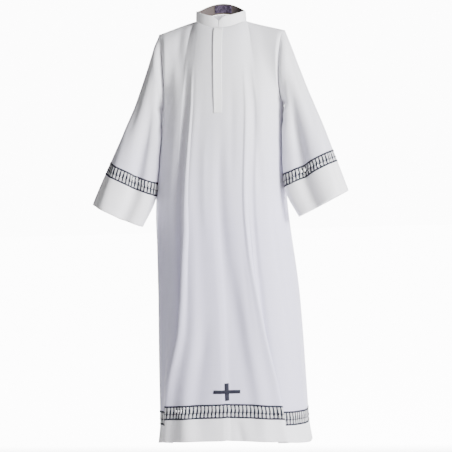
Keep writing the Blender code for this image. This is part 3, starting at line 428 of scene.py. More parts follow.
    def armhole(self, climb: Array, side: Array | float, front: Array | bool) -> Array:
        """The armhole's edge: climb is 0 at the underarm and 1 at the shoulder tip."""
        turn = np.pi * (climb - 0.5)
        height = (np.sin(turn) + 1) / 2
        under = self.half_width(UNDERARM_Z)
        depth = np.where(front, self.armhole_depths[0], -self.armhole_depths[1])
        inset = np.where(front, self.armhole_insets[0], self.armhole_insets[1])
        x = under + (self.shoulder[0] - under) * height - inset * np.cos(turn)
        y = self.shoulder[1] * height - depth * np.cos(turn)
        return stack(side * x, y, UNDERARM_Z + (self.shoulder[2] - UNDERARM_Z) * height)

    def chest_line(self, bottom: Array, top: Array, climb: Array) -> Array:
        """Lines up the chest or back, upright below and rolling over at the top."""
        quarter = climb * np.pi / 2
        round_in, round_up = self.chest_rounding
        rise = round_up * np.sin(quarter) + (1 - round_up) * climb
        inward = round_in * (1 - np.cos(quarter)) + (1 - round_in) * climb
        return bottom + (top - bottom) * np.stack((climb, inward, rise), axis=-1)

    def upper(self, cloth: Array, climb: Array) -> Array:
        """The body's plain surface above the underarm."""
        cloth, climb = matched(wrapped(cloth), climb)
        side, away = np.where(cloth < 0, -1.0, 1.0), np.abs(cloth)
        under = np.full(cloth.shape, UNDERARM_Z)
        plain_top = stack(side * self.shoulder[0], self.shoulder[1], self.shoulder[2])
        plain = self.chest_line(self.lower(side * 90.0, under), plain_top, climb)
        start = self.armhole_pull_from
        near = np.clip((90 - np.abs(90 - away) - start) / (90 - start), 0, 1) ** self.armhole_pull_power
        shift = (self.armhole(climb, side, away <= 90) - plain) * near[..., None]
        points = self.chest_line(self.lower(cloth, under), self.top(cloth), climb) + shift
        size = {name: curve(UNDERARM_Z) for name, curve in self.pleats.items()}
        softened = np.where(side > 0, self.left_pleat_share, 1.0) * size["front_rise"]
        front_rise = self.pleat(away, self.front_pleat_at, 0.0)[1] * softened
        back_rise = self.pleat(away, self.back_pleat_at, 0.0)[1] * size["back_rise"]
        pressed = (front_rise + back_rise) * smooth_step(0.0, self.pleat_fades, climb) * (1 - climb**2)
        sunk = self.valley(climb, np.abs(90 - away) * SHOULDER_DEGREE, away <= 90, side)
        return points + stack(0.0, pressed + sunk, 0.0)

    def valley(self, climb: Array, away: Array, front: Array, side: Array | float) -> Array:
        """How far back the front's cloth sinks into the armhole's seam, and the back's forward.

        Args:
            climb: 0 at the underarm and 1 at the shoulder tip.
            away: Distance from the seam.
            front: Whether the place is on the front.
            side: -1 for the wearer's right and 1 for the left.

        Returns:
            The move along Y, the same on both sides of the seam.
        """
        right = np.asarray(side) < 0
        depth = np.where(right, *self.valley_depths) * np.sin(np.pi * np.clip(climb, 0, 1))
        depth = np.where(front, depth, -self.back_valley_share * depth)
        return depth * bell(away, np.where(right, *self.valley_widths))

    def plain(self, cloth: Array, height: Array) -> Array:
        """The body's surface without its creases."""
        cloth, height = matched(cloth, height)
        climb = np.clip((height - UNDERARM_Z) / CLIMB_HEIGHT, 0, 1)
        low = self.lower(cloth, np.minimum(height, UNDERARM_Z))
        return np.where((climb > 0)[..., None], self.upper(cloth, climb), low)

    def outward(self, cloth: Array, height: Array) -> Array:
        """The direction away from the body at each place."""
        cloth, height = matched(cloth, height)
        turn = wrapped(cloth)
        away = np.abs(turn)
        clear = np.where(away < 90, 90 - self.seam_watch, 90 + self.seam_watch)
        near_seam = (height > UNDERARM_Z) & (np.abs(90 - away) < self.seam_watch)
        turn = np.where(near_seam, np.copysign(clear, turn), turn)
        across = self.plain(turn + self.probe_angle, height) - self.plain(turn - self.probe_angle, height)
        above = np.minimum(height + self.probe_height, CLIMB_TOP)
        up = self.plain(turn, above) - self.plain(turn, height - self.probe_height)
        return unit(np.cross(across, up))

    def relief(self, cloth: Array, height: Array) -> Array:
        """Height of the creases, flat along the seams above the underarm and at the neck."""
        away = np.abs(90 - np.abs(wrapped(cloth)))
        climbing = smooth_step(*self.seam_calm_z, height)
        calm = 1 - climbing * smooth_step(*self.seam_calm, away)
        calm = calm * smooth_step(CLIMB_TOP, CLIMB_TOP - self.top_calm, height)
        creased = total_relief(self.creases, cloth, height, (DEGREE, 1.0)) * calm
        dip = bell(away * DEGREE, self.seam_dip_width) * (1 - climbing)
        return creased - self.seam_dip * dip

    def place(self, cloth: Array | float, height: Array | float, lift: Array | float = 0.0) -> Array:
        """Points on the hanging, creased body.

        Args:
            cloth: Cloth angles, in degrees.
            height: Heights.
            lift: Distance out from the cloth.

        Returns:
            Points, with one more axis than the places.
        """
        cloth, height = matched(cloth, height)
        out = self.relief(cloth, height) + lift
        return self.settle(self.plain(cloth, height) + self.outward(cloth, height) * out[..., None])

    def settle(self, points: Array) -> Array:
        """Move points of the upright robe to where it hangs, with the right shoulder higher."""
        x, z = points[..., 0], points[..., 2]
        near_neck = smooth_step(self.shoulder[0], self.neck_half_width, np.abs(x))
        tilt = self.shoulder_tilt * smooth_step(*self.shoulder_tilt_z, z)
        tilt = tilt + self.neck_tilt * near_neck * smooth_step(*self.neck_tilt_z, z)
        return stack(x + self.hang(z), points[..., 1], z - tilt * x)


@dataclass
class SleeveForm:
    """The surface of one sleeve, from the armhole to the cuff's edge."""

    body: RobeForm
    side: int
    station: tuple[float, ...] = (0.0, 0.07, 0.22, 0.40, 0.57, 0.72, 0.78, 1.0)
    outer_x: tuple[float, ...] = (0.2220, 0.2365, 0.2722, 0.3105, 0.3540, 0.3915, 0.4050, 0.4476)
    outer_z: tuple[float, ...] = (-0.047, -0.086, -0.188, -0.293, -0.392, -0.482, -0.515, -0.6216)
    inner_x: tuple[float, ...] = (0.2115, 0.2160, 0.2178, 0.2208, 0.2245, 0.2278, 0.2315, 0.2800)
    inner_z: tuple[float, ...] = (-0.299, -0.318, -0.370, -0.440, -0.505, -0.560, -0.598, -0.704)
    middle_y: tuple[float, ...] = (0.004, 0.004, -0.003, -0.013, -0.024, -0.035, -0.040, -0.062)
    front: tuple[float, ...] = (0.082, 0.082, 0.079, 0.075, 0.071, 0.068, 0.068, 0.066)
    back: tuple[float, ...] = (0.082, 0.083, 0.080, 0.076, 0.072, 0.069, 0.068, 0.066)
    drop: float = 0.009
    drop_from: float = 0.1
    roundness: float = 0.92
    sewn_until: float = 0.075
    folds_grow: tuple[float, float] = (0.05, 0.55)
    creases_grow: tuple[float, float] = (0.02, 0.16)
    right_shift: float = 7.0
    probe_angle: float = 1.0
    probe_station: float = 0.01
    band_top: float = 0.720
    band_bottom: float = 0.780
    folds: tuple[tuple[float, float, float, float], ...] = (
        (45.0, 20.0, 20.0, 0.007),
        (5.0, -32.0, 17.0, -0.009),
        (150.0, 165.0, 20.0, -0.008),
        (200.0, 222.0, 18.0, 0.006),
    )
    creases: tuple[Crease, ...] = (
        Crease((-62.0, 0.04), (-60.0, 0.80), 0.022, 0.0110, 0.003),
        Crease((-86.0, 0.40), (-86.0, 1.36), 0.034, 0.0060),
        Crease((62.0, 0.02), (34.0, 0.66), 0.017, -0.0060, 0.004),
        Crease((70.0, 0.16), (22.0, 1.20), 0.018, 0.0070, 0.004),
        Crease((-24.0, 0.05), (-50.0, 0.56), 0.016, 0.0055, -0.004),
        Crease((-60.0, 0.02), (-20.0, 0.24), 0.010, -0.0040, 0.004),
        Crease((-84.0, 0.12), (-40.0, 0.36), 0.010, -0.0034, 0.004),
        Crease((-6.0, 0.10), (-26.0, 1.62), 0.019, -0.0150, 0.003),
        Crease((56.0, 0.50), (60.0, 1.20), 0.015, -0.0050, -0.003),
        Crease((-64.0, 0.45), (-66.0, 1.15), 0.013, 0.0040, 0.003),
        Crease((130.0, 0.10), (140.0, 0.90), 0.016, -0.0055, 0.004),
        Crease((185.0, 0.20), (180.0, 1.10), 0.017, 0.0060, 0.004),
        Crease((236.0, 0.05), (210.0, 0.50), 0.014, -0.0050, 0.004),
        Crease((240.0, 0.45), (232.0, 1.15), 0.014, -0.0050, 0.003),
    )

    def __post_init__(self) -> None:
        """Make curves of the tables."""
        names = ("outer_x", "outer_z", "inner_x", "inner_z", "middle_y", "front", "back")
        self.at = {name: Curve(self.station, getattr(self, name)) for name in names}

    def plain(self, around: Array, station: Array) -> Array:
        """The sleeve's surface before it hangs, without creases."""
        around, station = matched(around, station)
        size = {name: curve(station) for name, curve in self.at.items()}
        drop = self.side * self.drop * smooth_step(self.drop_from, 1.0, station)
        sine, cosine = sine_cosine(around)
        fold = np.zeros(around.shape)
        for start, end, half_width, depth in self.folds:
            away = wrapped(around - (start + (end - start) * station))
            fold = fold + depth * bell(away, half_width)
        fold = fold * smooth_step(*self.folds_grow, station)
        span_x = (size["outer_x"] - size["inner_x"]) / 2
        span_z = (size["outer_z"] - size["inner_z"]) / 2
        reach = signed_power(sine, self.roundness) * (1 + fold / np.hypot(span_x, span_z))
        depth = np.where(cosine > 0, size["front"], size["back"]) + fold
        x = (size["outer_x"] + size["inner_x"]) / 2 + span_x * reach
        y = size["middle_y"] - depth * signed_power(cosine, self.roundness)
        z = (size["outer_z"] + size["inner_z"]) / 2 + span_z * reach + drop
        loose = stack(self.side * x, y, z)
        sewn = smooth_step(self.sewn_until, 0.0, station)[..., None]
        points = loose + (self.seam(around) - self.plain_start(around)) * sewn
        return points + stack(0.0, self.valley(around, station), 0.0)

    def plain_start(self, around: Array) -> Array:
        """The sleeve's own first ring."""
        x = (self.outer_x[0] + self.inner_x[0]) / 2
        z = (self.outer_z[0] + self.inner_z[0]) / 2
        sine = signed_power(np.sin(np.radians(around)), self.roundness)
        cosine = signed_power(np.cos(np.radians(around)), self.roundness)
        x = x + (self.outer_x[0] - self.inner_x[0]) / 2 * sine
        z = z + (self.outer_z[0] - self.inner_z[0]) / 2 * sine
        return stack(self.side * x, self.middle_y[0] - self.front[0] * cosine, z)

    def seam(self, around: Array) -> Array:
        """The armhole's edge that the sleeve is sewn to."""
        front, climb = self.climb(around)
        points = self.body.armhole(climb, self.side, front)
        return points + np.array((self.side * 2 * SEAM_GAP, 0.0, 0.0))

    def climb(self, around: Array) -> tuple[Array, Array]:
        """Which places are on the front, and each one's climb up the armhole, from 0 to 1."""
        turned = wrapped(around)
        front = np.abs(turned) <= 90
        return front, 0.5 + np.where(front, turned, 180 - around % 360) / 180

    def valley(self, around: Array, station: Array) -> Array:
        """The armhole's valley on the sleeve's side of the seam."""
        front, climb = self.climb(around)
        return self.body.valley(climb, station * SLEEVE_LENGTH, front, self.side)

    def outward(self, around: Array, station: Array) -> Array:
        """The direction away from the sleeve at each place."""
        turn, step = self.probe_angle, self.probe_station
        across = self.plain(around + turn, station) - self.plain(around - turn, station)
        up = self.plain(around, np.maximum(station - step, 0)) - self.plain(around, station + step)
        return unit(np.cross(across, up)) * self.side

    def place(self, around: Array | float, station: Array | float, lift: Array | float = 0.0) -> Array:
        """Points on the hanging, creased sleeve.

        Args:
            around: Angles round the sleeve, in degrees.
            station: Stations, 0 at the armhole and 1 at the cuff's edge.
            lift: Distance out from the cloth.

        Returns:
            Points, with one more axis than the places.
        """
        around, station = matched(around, station)
        shifted = around if self.side > 0 else around + self.right_shift
        out = total_relief(self.creases, shifted, station, (SLEEVE_DEGREE, SLEEVE_LENGTH))
        out = out * smooth_step(*self.creases_grow, station) + lift
        points = self.plain(around, station) + self.outward(around, station) * out[..., None]
        return self.body.settle(points)


@dataclass
class CollarForm:
    """The stand collar's surface, open at the centre front with a V notch."""

    body: RobeForm
    side_height: float = 0.0345
    front_extra: float = 0.0045
    back_extra: float = 0.0035
    lean: float = 0.002
    notch_depth: float = 0.0165
    notch_half_width: float = 0.025
    notch_power: float = 1.5
    split_angle: float = 0.55
    thickness: float = 2.0 * MM

    def place(self, angle: Array | float, share: Array | float, lift: Array | float = 0.0) -> Array:
        """Points on the collar's outer side.

        Args:
            angle: Neck angles, from the split round to the split.
            share: 0 at the base and 1 at the top edge.
            lift: Distance out from the cloth.

        Returns:
            Points, with one more axis than the places.
        """
        angle, share = matched(angle, share)
        base = self.body.neck(angle) + np.array((0.0, 0.0, SEAM_GAP))
        ahead = self.body.neck(angle + 1) - self.body.neck(angle - 1)
        outward = beside(ahead)
        cosine = np.cos(np.radians(angle))
        extra = np.where(cosine > 0, self.front_extra, self.back_extra)
        height = self.side_height + extra * cosine**2
        from_split = np.where(cosine > 0, np.abs(base[..., 0]), 1.0)
        cut = np.clip(1 - from_split / self.notch_half_width, 0, 1)
        height = (height - self.notch_depth * cut**self.notch_power) * share
        points = base + outward * (lift - self.lean * share)[..., None]
        return self.body.settle(points + stack(0.0, 0.0, height))


def put(name: str, data: bpy.types.ID) -> bpy.types.Object:
    """A new object in the scene for a mesh, a light or a camera."""
    made = bpy.data.objects.new(name, data)
    bpy.context.scene.collection.objects.link(made)
    return made


class Value:
    """A socket that takes part in arithmetic; every operator adds one Math node."""

    def __init__(self, tree: "Tree", socket: bpy.types.NodeSocket) -> None:
        """Keep the socket and the tree it belongs to."""
        self.tree = tree
        self.socket = socket

    def math(self, operation: str, *others: "Value | float") -> "Value":
        """One Math node on this value.

        Args:
            operation: The Math node's operation.
            others: The other operands, values or numbers.

        Returns:
            The result as a value.
        """
        sockets = {0: self, **{i + 1: other for i, other in enumerate(others)}}
        return self.tree.value("ShaderNodeMath", {"operation": operation}, sockets)

    def __add__(self, other: "Value | float") -> "Value":
        """Sum."""
        return self.math("ADD", other)

    def __mul__(self, other: "Value | float") -> "Value":
        """Product."""
        return self.math("MULTIPLY", other)

    def __sub__(self, other: "Value | float") -> "Value":
        """Difference."""
        return self.math("SUBTRACT", other)

    def __rsub__(self, other: float) -> "Value":
        """Difference from a number."""
        return self * -1.0 + other

    __radd__ = __add__
    __rmul__ = __mul__

    def sine(self) -> "Value":
        """Sine of the value."""
        return self.math("SINE")

    def clamped(self) -> "Value":
        """The value kept between 0 and 1."""
        return self.math("MAXIMUM", 0.0).math("MINIMUM", 1.0)


class Tree:
    """A node tree under construction, for a material, a modifier or the world."""

    def __init__(self, nodes: bpy.types.NodeTree) -> None:
        """Start from a tree that Blender made."""
        self.nodes = nodes

    def add(self, kind: str, settings: dict | None = None, sockets: dict | None = None) -> bpy.types.Node:
        """Add any node.

        Args:
            kind: The node's type.
            settings: Its properties.
            sockets: Numbers, colours or links for its inputs, by name or index.

        Returns:
            The new node.
        """
        node = self.nodes.nodes.new(kind)
        for name, setting in (settings or {}).items():
            setattr(node, name, setting)
        for name, content in (sockets or {}).items():
            if isinstance(content, Value):
                content = content.socket
            if isinstance(content, bpy.types.NodeSocket):
                self.nodes.links.new(content, node.inputs[name])
            else:
                node.inputs[name].default_value = content
        return node

    def value(
        self, kind: str, settings: dict | None = None, sockets: dict | None = None, output: int | str = 0
    ) -> Value:
        """Add a node and take one of its outputs as a value."""
        return Value(self, self.add(kind, settings, sockets).outputs[output])

    def noise(self, vector: Value, scale: float, detail: float = 2.0, roughness: float = 0.5) -> Value:
        """A noise value from 0 to 1 on a vector."""
        sockets = {"Vector": vector, "Scale": scale, "Detail": detail, "Roughness": roughness}
        return self.value("ShaderNodeTexNoise", None, sockets)

    def mapped(self, vector: Value, scale: Sequence[float]) -> Value:
        """A vector stretched along its axes."""
        return self.value("ShaderNodeMapping", None, {"Vector": vector, "Scale": scale})

    def parts(self, vector: Value) -> list[Value]:
        """A vector's X, Y and Z."""
        outputs = self.add("ShaderNodeSeparateXYZ", None, {"Vector": vector}).outputs
        return [Value(self, output) for output in outputs]

    def mix(
        self, share: Value | float, first: Value | Sequence[float], second: Value | Sequence[float]
    ) -> Value:
        """A colour between two colours.

        Args:
            share: 0 for the first and 1 for the second.
            first: A colour or a link.
            second: A colour or a link.

        Returns:
            The mixed colour.
        """
        ends = [c if isinstance(c, Value) else (*c, 1.0) for c in (first, second)]
        sockets = {0: share, 6: ends[0], 7: ends[1]}
        return self.value("ShaderNodeMix", {"data_type": "RGBA"}, sockets, 2)


@dataclass(frozen=True)
class Finish:
    """A finish: what every material of the robe has, and the hooks that make it its own."""

    name: str
    slot: str
    colour: tuple[float, float, float]
    roughness: float = 0.8
    sheen: float = 0.0
    metallic: float = 0.0
    bump: float = 0.1
    sheen_roughness: float = 0.5

    def colouring(self, tree: Tree, place: Value) -> Value | None:
        """The colour over the surface, or None for the plain one."""
        return None

    def height(self, tree: Tree, place: Value) -> Value | None:
        """The bump height over the surface, in metres, or None."""
        return None

    def coordinates(self, tree: Tree) -> Value:
        """Object coordinates."""
        return tree.value("ShaderNodeTexCoord", output="Object")

    def make(self) -> bpy.types.Material:
        """Build the material.

        Returns:
            The material, ready for a piece.
        """
        material = bpy.data.materials.new(self.name)
        material.use_nodes = True
        tree = Tree(material.node_tree)
        shader = material.node_tree.nodes["Principled BSDF"]
        shader.inputs["Base Color"].default_value = (*self.colour, 1.0)
        shader.inputs["Roughness"].default_value = self.roughness
        shader.inputs["Metallic"].default_value = self.metallic
        shader.inputs["Sheen Weight"].default_value = self.sheen
        shader.inputs["Sheen Roughness"].default_value = self.sheen_roughness
        place = self.coordinates(tree)
        colour = self.colouring(tree, place)
        if colour is not None:
            material.node_tree.links.new(colour.socket, shader.inputs["Base Color"])
        height = self.height(tree, place)
        if height is not None:
            sockets = {"Strength": self.bump, "Distance": 1.0, "Height": height}
            bump = tree.value("ShaderNodeBump", None, sockets)
            material.node_tree.links.new(bump.socket, shader.inputs["Normal"])
        material.diffuse_color = (*self.colour, 1.0)
        return material


@dataclass(frozen=True)
class Cloth(Finish):
    """White plain-woven cloth: a fine weave, slubs, soft rumples and a cooler tint low down."""

    low_colour: tuple[float, float, float] = (0.705, 0.685, 0.865)
    tint_from: float = -0.25
    tint_to: float = -0.75
    weave_pitch: float = 0.9 * MM
    rumple: float = 0.9 * MM
    slub_stretch: tuple[float, float, float] = (14.0, 260.0, 1.0)
    cross_stretch: tuple[float, float, float] = (260.0, 14.0, 1.0)
    ridge_stretch: tuple[float, float, float] = (30.0, 700.0, 1.0)
    rumple_stretch: tuple[float, float, float] = (16.0, 7.0, 1.0)
    mottle: float = 0.955
    weave: float = 0.05 * MM
    ridges: float = 0.10 * MM
    fuzz: float = 0.12 * MM
    fuzz_scale: float = 70.0

    def coordinates(self, tree: Tree) -> Value:
        """The cloth's own flat map, in metres along its threads."""
        return tree.value("ShaderNodeUVMap", {"uv_map": "cloth"})

    def colouring(self, tree: Tree, place: Value) -> Value:
        """A tint by height, and mottling along the threads."""
        spot = tree.value("ShaderNodeTexCoord", output="Object")
        z = tree.parts(spot)[2]
        low = ((z - self.tint_from) * (1 / (self.tint_to - self.tint_from))).clamped()
        tinted = tree.mix(low, self.colour, self.low_colour)
        slub = tree.noise(tree.mapped(place, self.slub_stretch), 1.0, 3.0)
        cross = tree.noise(tree.mapped(place, self.cross_stretch), 1.0, 3.0)
        tone = ((slub + cross) * 0.5 - 0.42).math("MULTIPLY", 2.2).clamped()
        scaled = {0: tinted, "Scale": self.mottle}
        shade = tree.value("ShaderNodeVectorMath", {"operation": "SCALE"}, scaled)
        return tree.mix(tone, shade, tinted)

    def height(self, tree: Tree, place: Value) -> Value:
        """Weave threads, slubs and shallow rumples."""
        across, along, _ = tree.parts(place)
        turns = 2 * math.pi / self.weave_pitch
        weave = (across * turns).sine() * (along * turns).sine()
        slub = tree.noise(tree.mapped(place, self.ridge_stretch), 1.0, 2.0)
        rumple = tree.noise(tree.mapped(place, self.rumple_stretch), 1.0, 3.0, 0.45)
        fine = tree.noise(place, self.fuzz_scale, 3.0, 0.5)
        return weave * self.weave + slub * self.ridges + rumple * self.rumple + fine * self.fuzz


@dataclass(frozen=True)
class Thread(Finish):
    """Spun thread: a twist along it and a slight change of tone."""

    dark: float = 0.75
    strand_scale: float = 900.0
    fibre_scale: float = 2600.0
    fibre: float = 0.12 * MM

    def colouring(self, tree: Tree, place: Value) -> Value:
        """A change of tone from strand to strand."""
        strand = tree.noise(place, self.strand_scale, 2.0)
        deep = tuple(channel * self.dark for channel in self.colour)
        return tree.mix((strand * 2.2 - 0.6).clamped(), deep, self.colour)

    def height(self, tree: Tree, place: Value) -> Value:
        """Fibres."""
        return tree.noise(place, self.fibre_scale, 2.0) * self.fibre


@dataclass(frozen=True)
class Label(Finish):
    """A bare woven label: dark, mottled, with its weft showing."""

    flecks: tuple[float, float, float] = (0.20, 0.15, 0.25)
    fleck_scale: float = 230.0
    rib_pitch: float = 0.6 * MM
    rib: float = 0.06 * MM

    def colouring(self, tree: Tree, place: Value) -> Value:
        """Pale flecks on a dark ground."""
        blot = tree.noise(place, self.fleck_scale, 3.0, 0.6)
        return tree.mix((blot * 4.0 - 1.9).clamped(), self.colour, self.flecks)

    def height(self, tree: Tree, place: Value) -> Value:
        """Close weft ribs."""
        z = tree.parts(place)[2]
        return (z * (2 * math.pi / self.rib_pitch)).sine() * self.rib


@dataclass(frozen=True)
class Wire(Finish):
    """Drawn steel wire with fine scratches."""

    scratch_scale: float = 3000.0
    scratch: float = 0.02 * MM

    def height(self, tree: Tree, place: Value) -> Value:
        """Scratches."""
        return tree.noise(place, self.scratch_scale, 2.0) * self.scratch


class Finishes(Enum):
    """The robe's finishes, one for each material that it shows."""

    CLOTH = Cloth("white_cloth_weave", "white_cloth", (0.785, 0.78, 0.822), 0.72, 0.25, bump=1.0)
    TRIM = Cloth(
        "white_trim_weave", "white_cloth", (0.95, 0.945, 0.96), 0.72, 0.25, bump=1.0,
        low_colour=(0.93, 0.92, 0.965), rumple=0.7 * MM,
    )
    # The collar's inner faces: its facing, coloured near-black brown as painted shade inside the collar.
    FACING_PAINTED_SHADE = Cloth("collar_facing_painted_shade_weave", "white_cloth", (0.10, 0.08, 0.077), 0.8, 0.1, bump=1.0)
    LACE = Thread("white_thread", "openwork_lace", (0.84, 0.84, 0.86), 0.7, 0.3, bump=0.6)
    NAVY = Thread("navy_thread", "navy_thread", (0.012, 0.0125, 0.032), 0.6, 0.02, bump=0.6, dark=0.6)
    LABEL = Label("woven_label", "woven_label", (0.020, 0.009, 0.032), 0.7, bump=0.8)
    STEEL = Wire("fastener_steel", "fastener_steel", (0.35, 0.35, 0.38), 0.35, 0.0, 1.0, 0.5)


class Workshop:
    """What every class builds with: materials made once, mesh makers and the thread trees."""

    def __init__(self) -> None:
        """Start with no material and no tree made."""
        self.materials: dict[Finishes, bpy.types.Material] = {}
        self.tubes = self.tube_tree()
        self.stitches = self.stitch_tree()

    def material(self, finish: Finishes) -> bpy.types.Material:
        """The material of a finish, made when first asked for."""
        if finish not in self.materials:
            self.materials[finish] = finish.value.make()
        return self.materials[finish]

    def sheet(
        self, name: str, points: Array, finish: Finishes, thickness: float, closed: bool = False
    ) -> bpy.types.Object:
        """A thin shell of cloth from rows of points, mapped in metres along its own threads.

        Args:
            name: The piece's name.
            points: Rows of outer points, the lowest row first, running so that up is on the left.
            finish: Its finish.
            thickness: The wall, built inwards.
            closed: Whether each row is a ring.

        Returns:
            The piece.
        """
        rows, columns = points.shape[:2]
        cells = columns if closed else columns - 1
        r, c = np.meshgrid(np.arange(rows - 1), np.arange(cells), indexing="ij")
        after = (c + 1) % columns
        corners = (r * columns + c, r * columns + after, (r + 1) * columns + after, (r + 1) * columns + c)
        faces = np.stack(corners, axis=-1).reshape(-1, 4)
        mesh = bpy.data.meshes.new(name)
        mesh.from_pydata(points.reshape(-1, 3).tolist(), [], faces.tolist())
        flat = self.flat_map(points, closed)
        span = np.stack((flat[:-1, :-1], flat[:-1, 1:], flat[1:, 1:], flat[1:, :-1]), axis=2)
        mesh.uv_layers.new(name="cloth").data.foreach_set("uv", span.reshape(-1))
        mesh.shade_smooth()
        mesh.materials.append(self.material(finish))
        piece = put(name, mesh)
        wall = piece.modifiers.new("wall", "SOLIDIFY")
        wall.thickness = thickness
        wall.offset = -1.0
        return piece

    def flat_map(self, points: Array, closed: bool) -> Array:
        """The flat cloth's metres at each point: along each row from its middle, and up the rows."""
        ring = np.concatenate((points, points[:, :1]), axis=1) if closed else points
        steps = np.linalg.norm(np.diff(ring, axis=1), axis=-1)
        across = np.concatenate((np.zeros((len(ring), 1)), np.cumsum(steps, axis=1)), axis=1)
        across = across - across[:, across.shape[1] // 2][:, None]
        climb = np.linalg.norm(np.diff(ring, axis=0), axis=-1)
        along = np.concatenate((np.zeros((1, ring.shape[1])), np.cumsum(climb, axis=0)), axis=0)
        return np.stack((across, along), axis=-1)

    def open_tree(
        self, name: str, rows: dict[str, str]
    ) -> tuple[Tree, bpy.types.NodeOutputs, Value]:
        """Start a geometry tree that works on drawn lines.

        Args:
            name: The tree's name.
            rows: Its named inputs and their types, besides the lines and the finish.

        Returns:
            The tree, its inputs, and the lines as curves.
        """
        tree = bpy.data.node_groups.new(name, "GeometryNodeTree")
        for title, kind in {"Geometry": "Geometry", **rows, "Finish": "Material"}.items():
            tree.interface.new_socket(title, in_out="INPUT", socket_type=f"NodeSocket{kind}")
        tree.interface.new_socket("Geometry", in_out="OUTPUT", socket_type="NodeSocketGeometry")
        build = Tree(tree)
        inputs = build.add("NodeGroupInput").outputs
        return build, inputs, build.value("GeometryNodeMeshToCurve", None, {0: inputs["Geometry"]})

    def tube_tree(self) -> bpy.types.NodeTree:
        """Geometry nodes that turn drawn lines into threads."""
        build, inputs, lines = self.open_tree("thread_tubes", {"Thread radius": "Float", "Sides": "Int"})
        profile_size = {"Resolution": inputs["Sides"], "Radius": inputs["Thread radius"]}
        profile = build.value("GeometryNodeCurvePrimitiveCircle", {"mode": "RADIUS"}, profile_size)
        tube = build.value("GeometryNodeCurveToMesh", None, {0: lines, 1: profile, "Fill Caps": True})
        self.close_tree(build, tube, inputs["Finish"])
        return build.nodes

    def stitch_tree(self) -> bpy.types.NodeTree:
        """Geometry nodes that lay stitches along a drawn line, each one across or along it."""
        rows = {"Pitch": "Float", "Stitch size": "Vector", "Turn": "Vector", "Unevenness": "Float"}
        build, inputs, lines = self.open_tree("stitch_rows", rows)
        along = {"Curve": lines, "Length": inputs["Pitch"]}
        even = build.value("GeometryNodeResampleCurve", {"mode": "LENGTH"}, along)
        out = build.value("GeometryNodeInputNamedAttribute", {"data_type": "FLOAT_VECTOR"}, {"Name": "out"})
        axes = {"primary_axis": "Z", "secondary_axis": "X"}
        ends = {"Primary Axis": out, "Secondary Axis": build.value("GeometryNodeInputTangent")}
        facing = build.value("FunctionNodeAxesToRotation", axes, ends)
        leaning = build.value("FunctionNodeEulerToRotation", None, {0: inputs["Turn"]})
        draw = {2: 0.0, 3: 1.0, "Seed": STITCH_SEED}
        chance = build.value("FunctionNodeRandomValue", {"data_type": "FLOAT"}, draw, 1)
        grown = 1.0 + (chance - 0.5) * Value(build, inputs["Unevenness"])
        turns = {0: facing, 1: leaning}
        turned = build.value("FunctionNodeRotateRotation", {"rotation_space": "LOCAL"}, turns)
        bead = {"Segments": 6, "Rings": 4, "Radius": 0.5}
        stitch = build.value("GeometryNodeMeshUVSphere", None, bead)
        size = {0: inputs["Stitch size"], "Scale": grown}
        sized = build.value("ShaderNodeVectorMath", {"operation": "SCALE"}, size)
        laid = {"Points": even, "Instance": stitch, "Rotation": turned, "Scale": sized}
        row = build.value("GeometryNodeInstanceOnPoints", None, laid)
        self.close_tree(build, row, inputs["Finish"])
        return build.nodes

    def close_tree(self, build: Tree, geometry: Value, finish: bpy.types.NodeSocket) -> None:
        """End a tree: real meshes, smooth shading and the finish."""
        real = build.value("GeometryNodeRealizeInstances", None, {0: geometry})
        smooth = build.value("GeometryNodeSetShadeSmooth", None, {"Geometry": real})
        dressed = build.value("GeometryNodeSetMaterial", None, {"Geometry": smooth, "Material": finish})
        build.add("NodeGroupOutput", None, {0: dressed})

    def lines(
        self, name: str, runs: Sequence[Array], outward: Sequence[Array] | None = None
    ) -> bpy.types.Object:
        """An object that holds drawn lines, each an array of points.

        Args:
            name: The piece's name.
            runs: The lines.
            outward: For each line, the direction away from the cloth at its points.

        Returns:
            The object, with edges alone.
        """
        starts = np.cumsum([0] + [len(run) for run in runs])
        edges = [(i, i + 1) for start, run in zip(starts, runs) for i in range(start, start + len(run) - 1)]
        mesh = bpy.data.meshes.new(name)
        mesh.from_pydata(np.concatenate(runs).tolist(), edges, [])
        if outward is not None:
            kept = mesh.attributes.new("out", "FLOAT_VECTOR", "POINT")
            kept.data.foreach_set("vector", np.concatenate(outward).reshape(-1))
        return put(name, mesh)

    def grow(self, piece: bpy.types.Object, tree: bpy.types.NodeTree, inputs: dict) -> bpy.types.Object:
        """Run a tree on an object and keep the result as its plain mesh.

        Args:
            piece: The object that holds the drawn lines.
            tree: The tree.
            inputs: Its named inputs.

        Returns:
            The same object with its new mesh and no modifier.
        """
        modifier = piece.modifiers.new(tree.name, "NODES")
        modifier.node_group = tree
        for item in tree.interface.items_tree:
            if item.in_out == "INPUT" and item.name in inputs:
                modifier[item.identifier] = inputs[item.name]
        graph = bpy.context.evaluated_depsgraph_get()
        made = bpy.data.meshes.new_from_object(piece.evaluated_get(graph))
        piece.modifiers.clear()
        piece.data = made
        return piece

    def threads(
        self, name: str, runs: Sequence[Array], radius: float, finish: Finishes, sides: int = 4
    ) -> bpy.types.Object:
        """Threads along drawn lines."""
        inputs = {"Thread radius": radius, "Sides": sides, "Finish": self.material(finish)}
        return self.grow(self.lines(name, runs), self.tubes, inputs)

    def stitch_row(
        self, name: str, runs: Sequence[Array], outward: Sequence[Array], stitch: "Stitch", finish: Finishes
    ) -> bpy.types.Object:
        """Rows of stitches along drawn lines."""
        inputs = {
            "Pitch": stitch.pitch,
            "Stitch size": stitch.size,
            "Turn": (0.0, 0.0, math.radians(stitch.turn)),
            "Unevenness": stitch.unevenness,
            "Finish": self.material(finish),
        }
        return self.grow(self.lines(name, runs, outward), self.stitches, inputs)

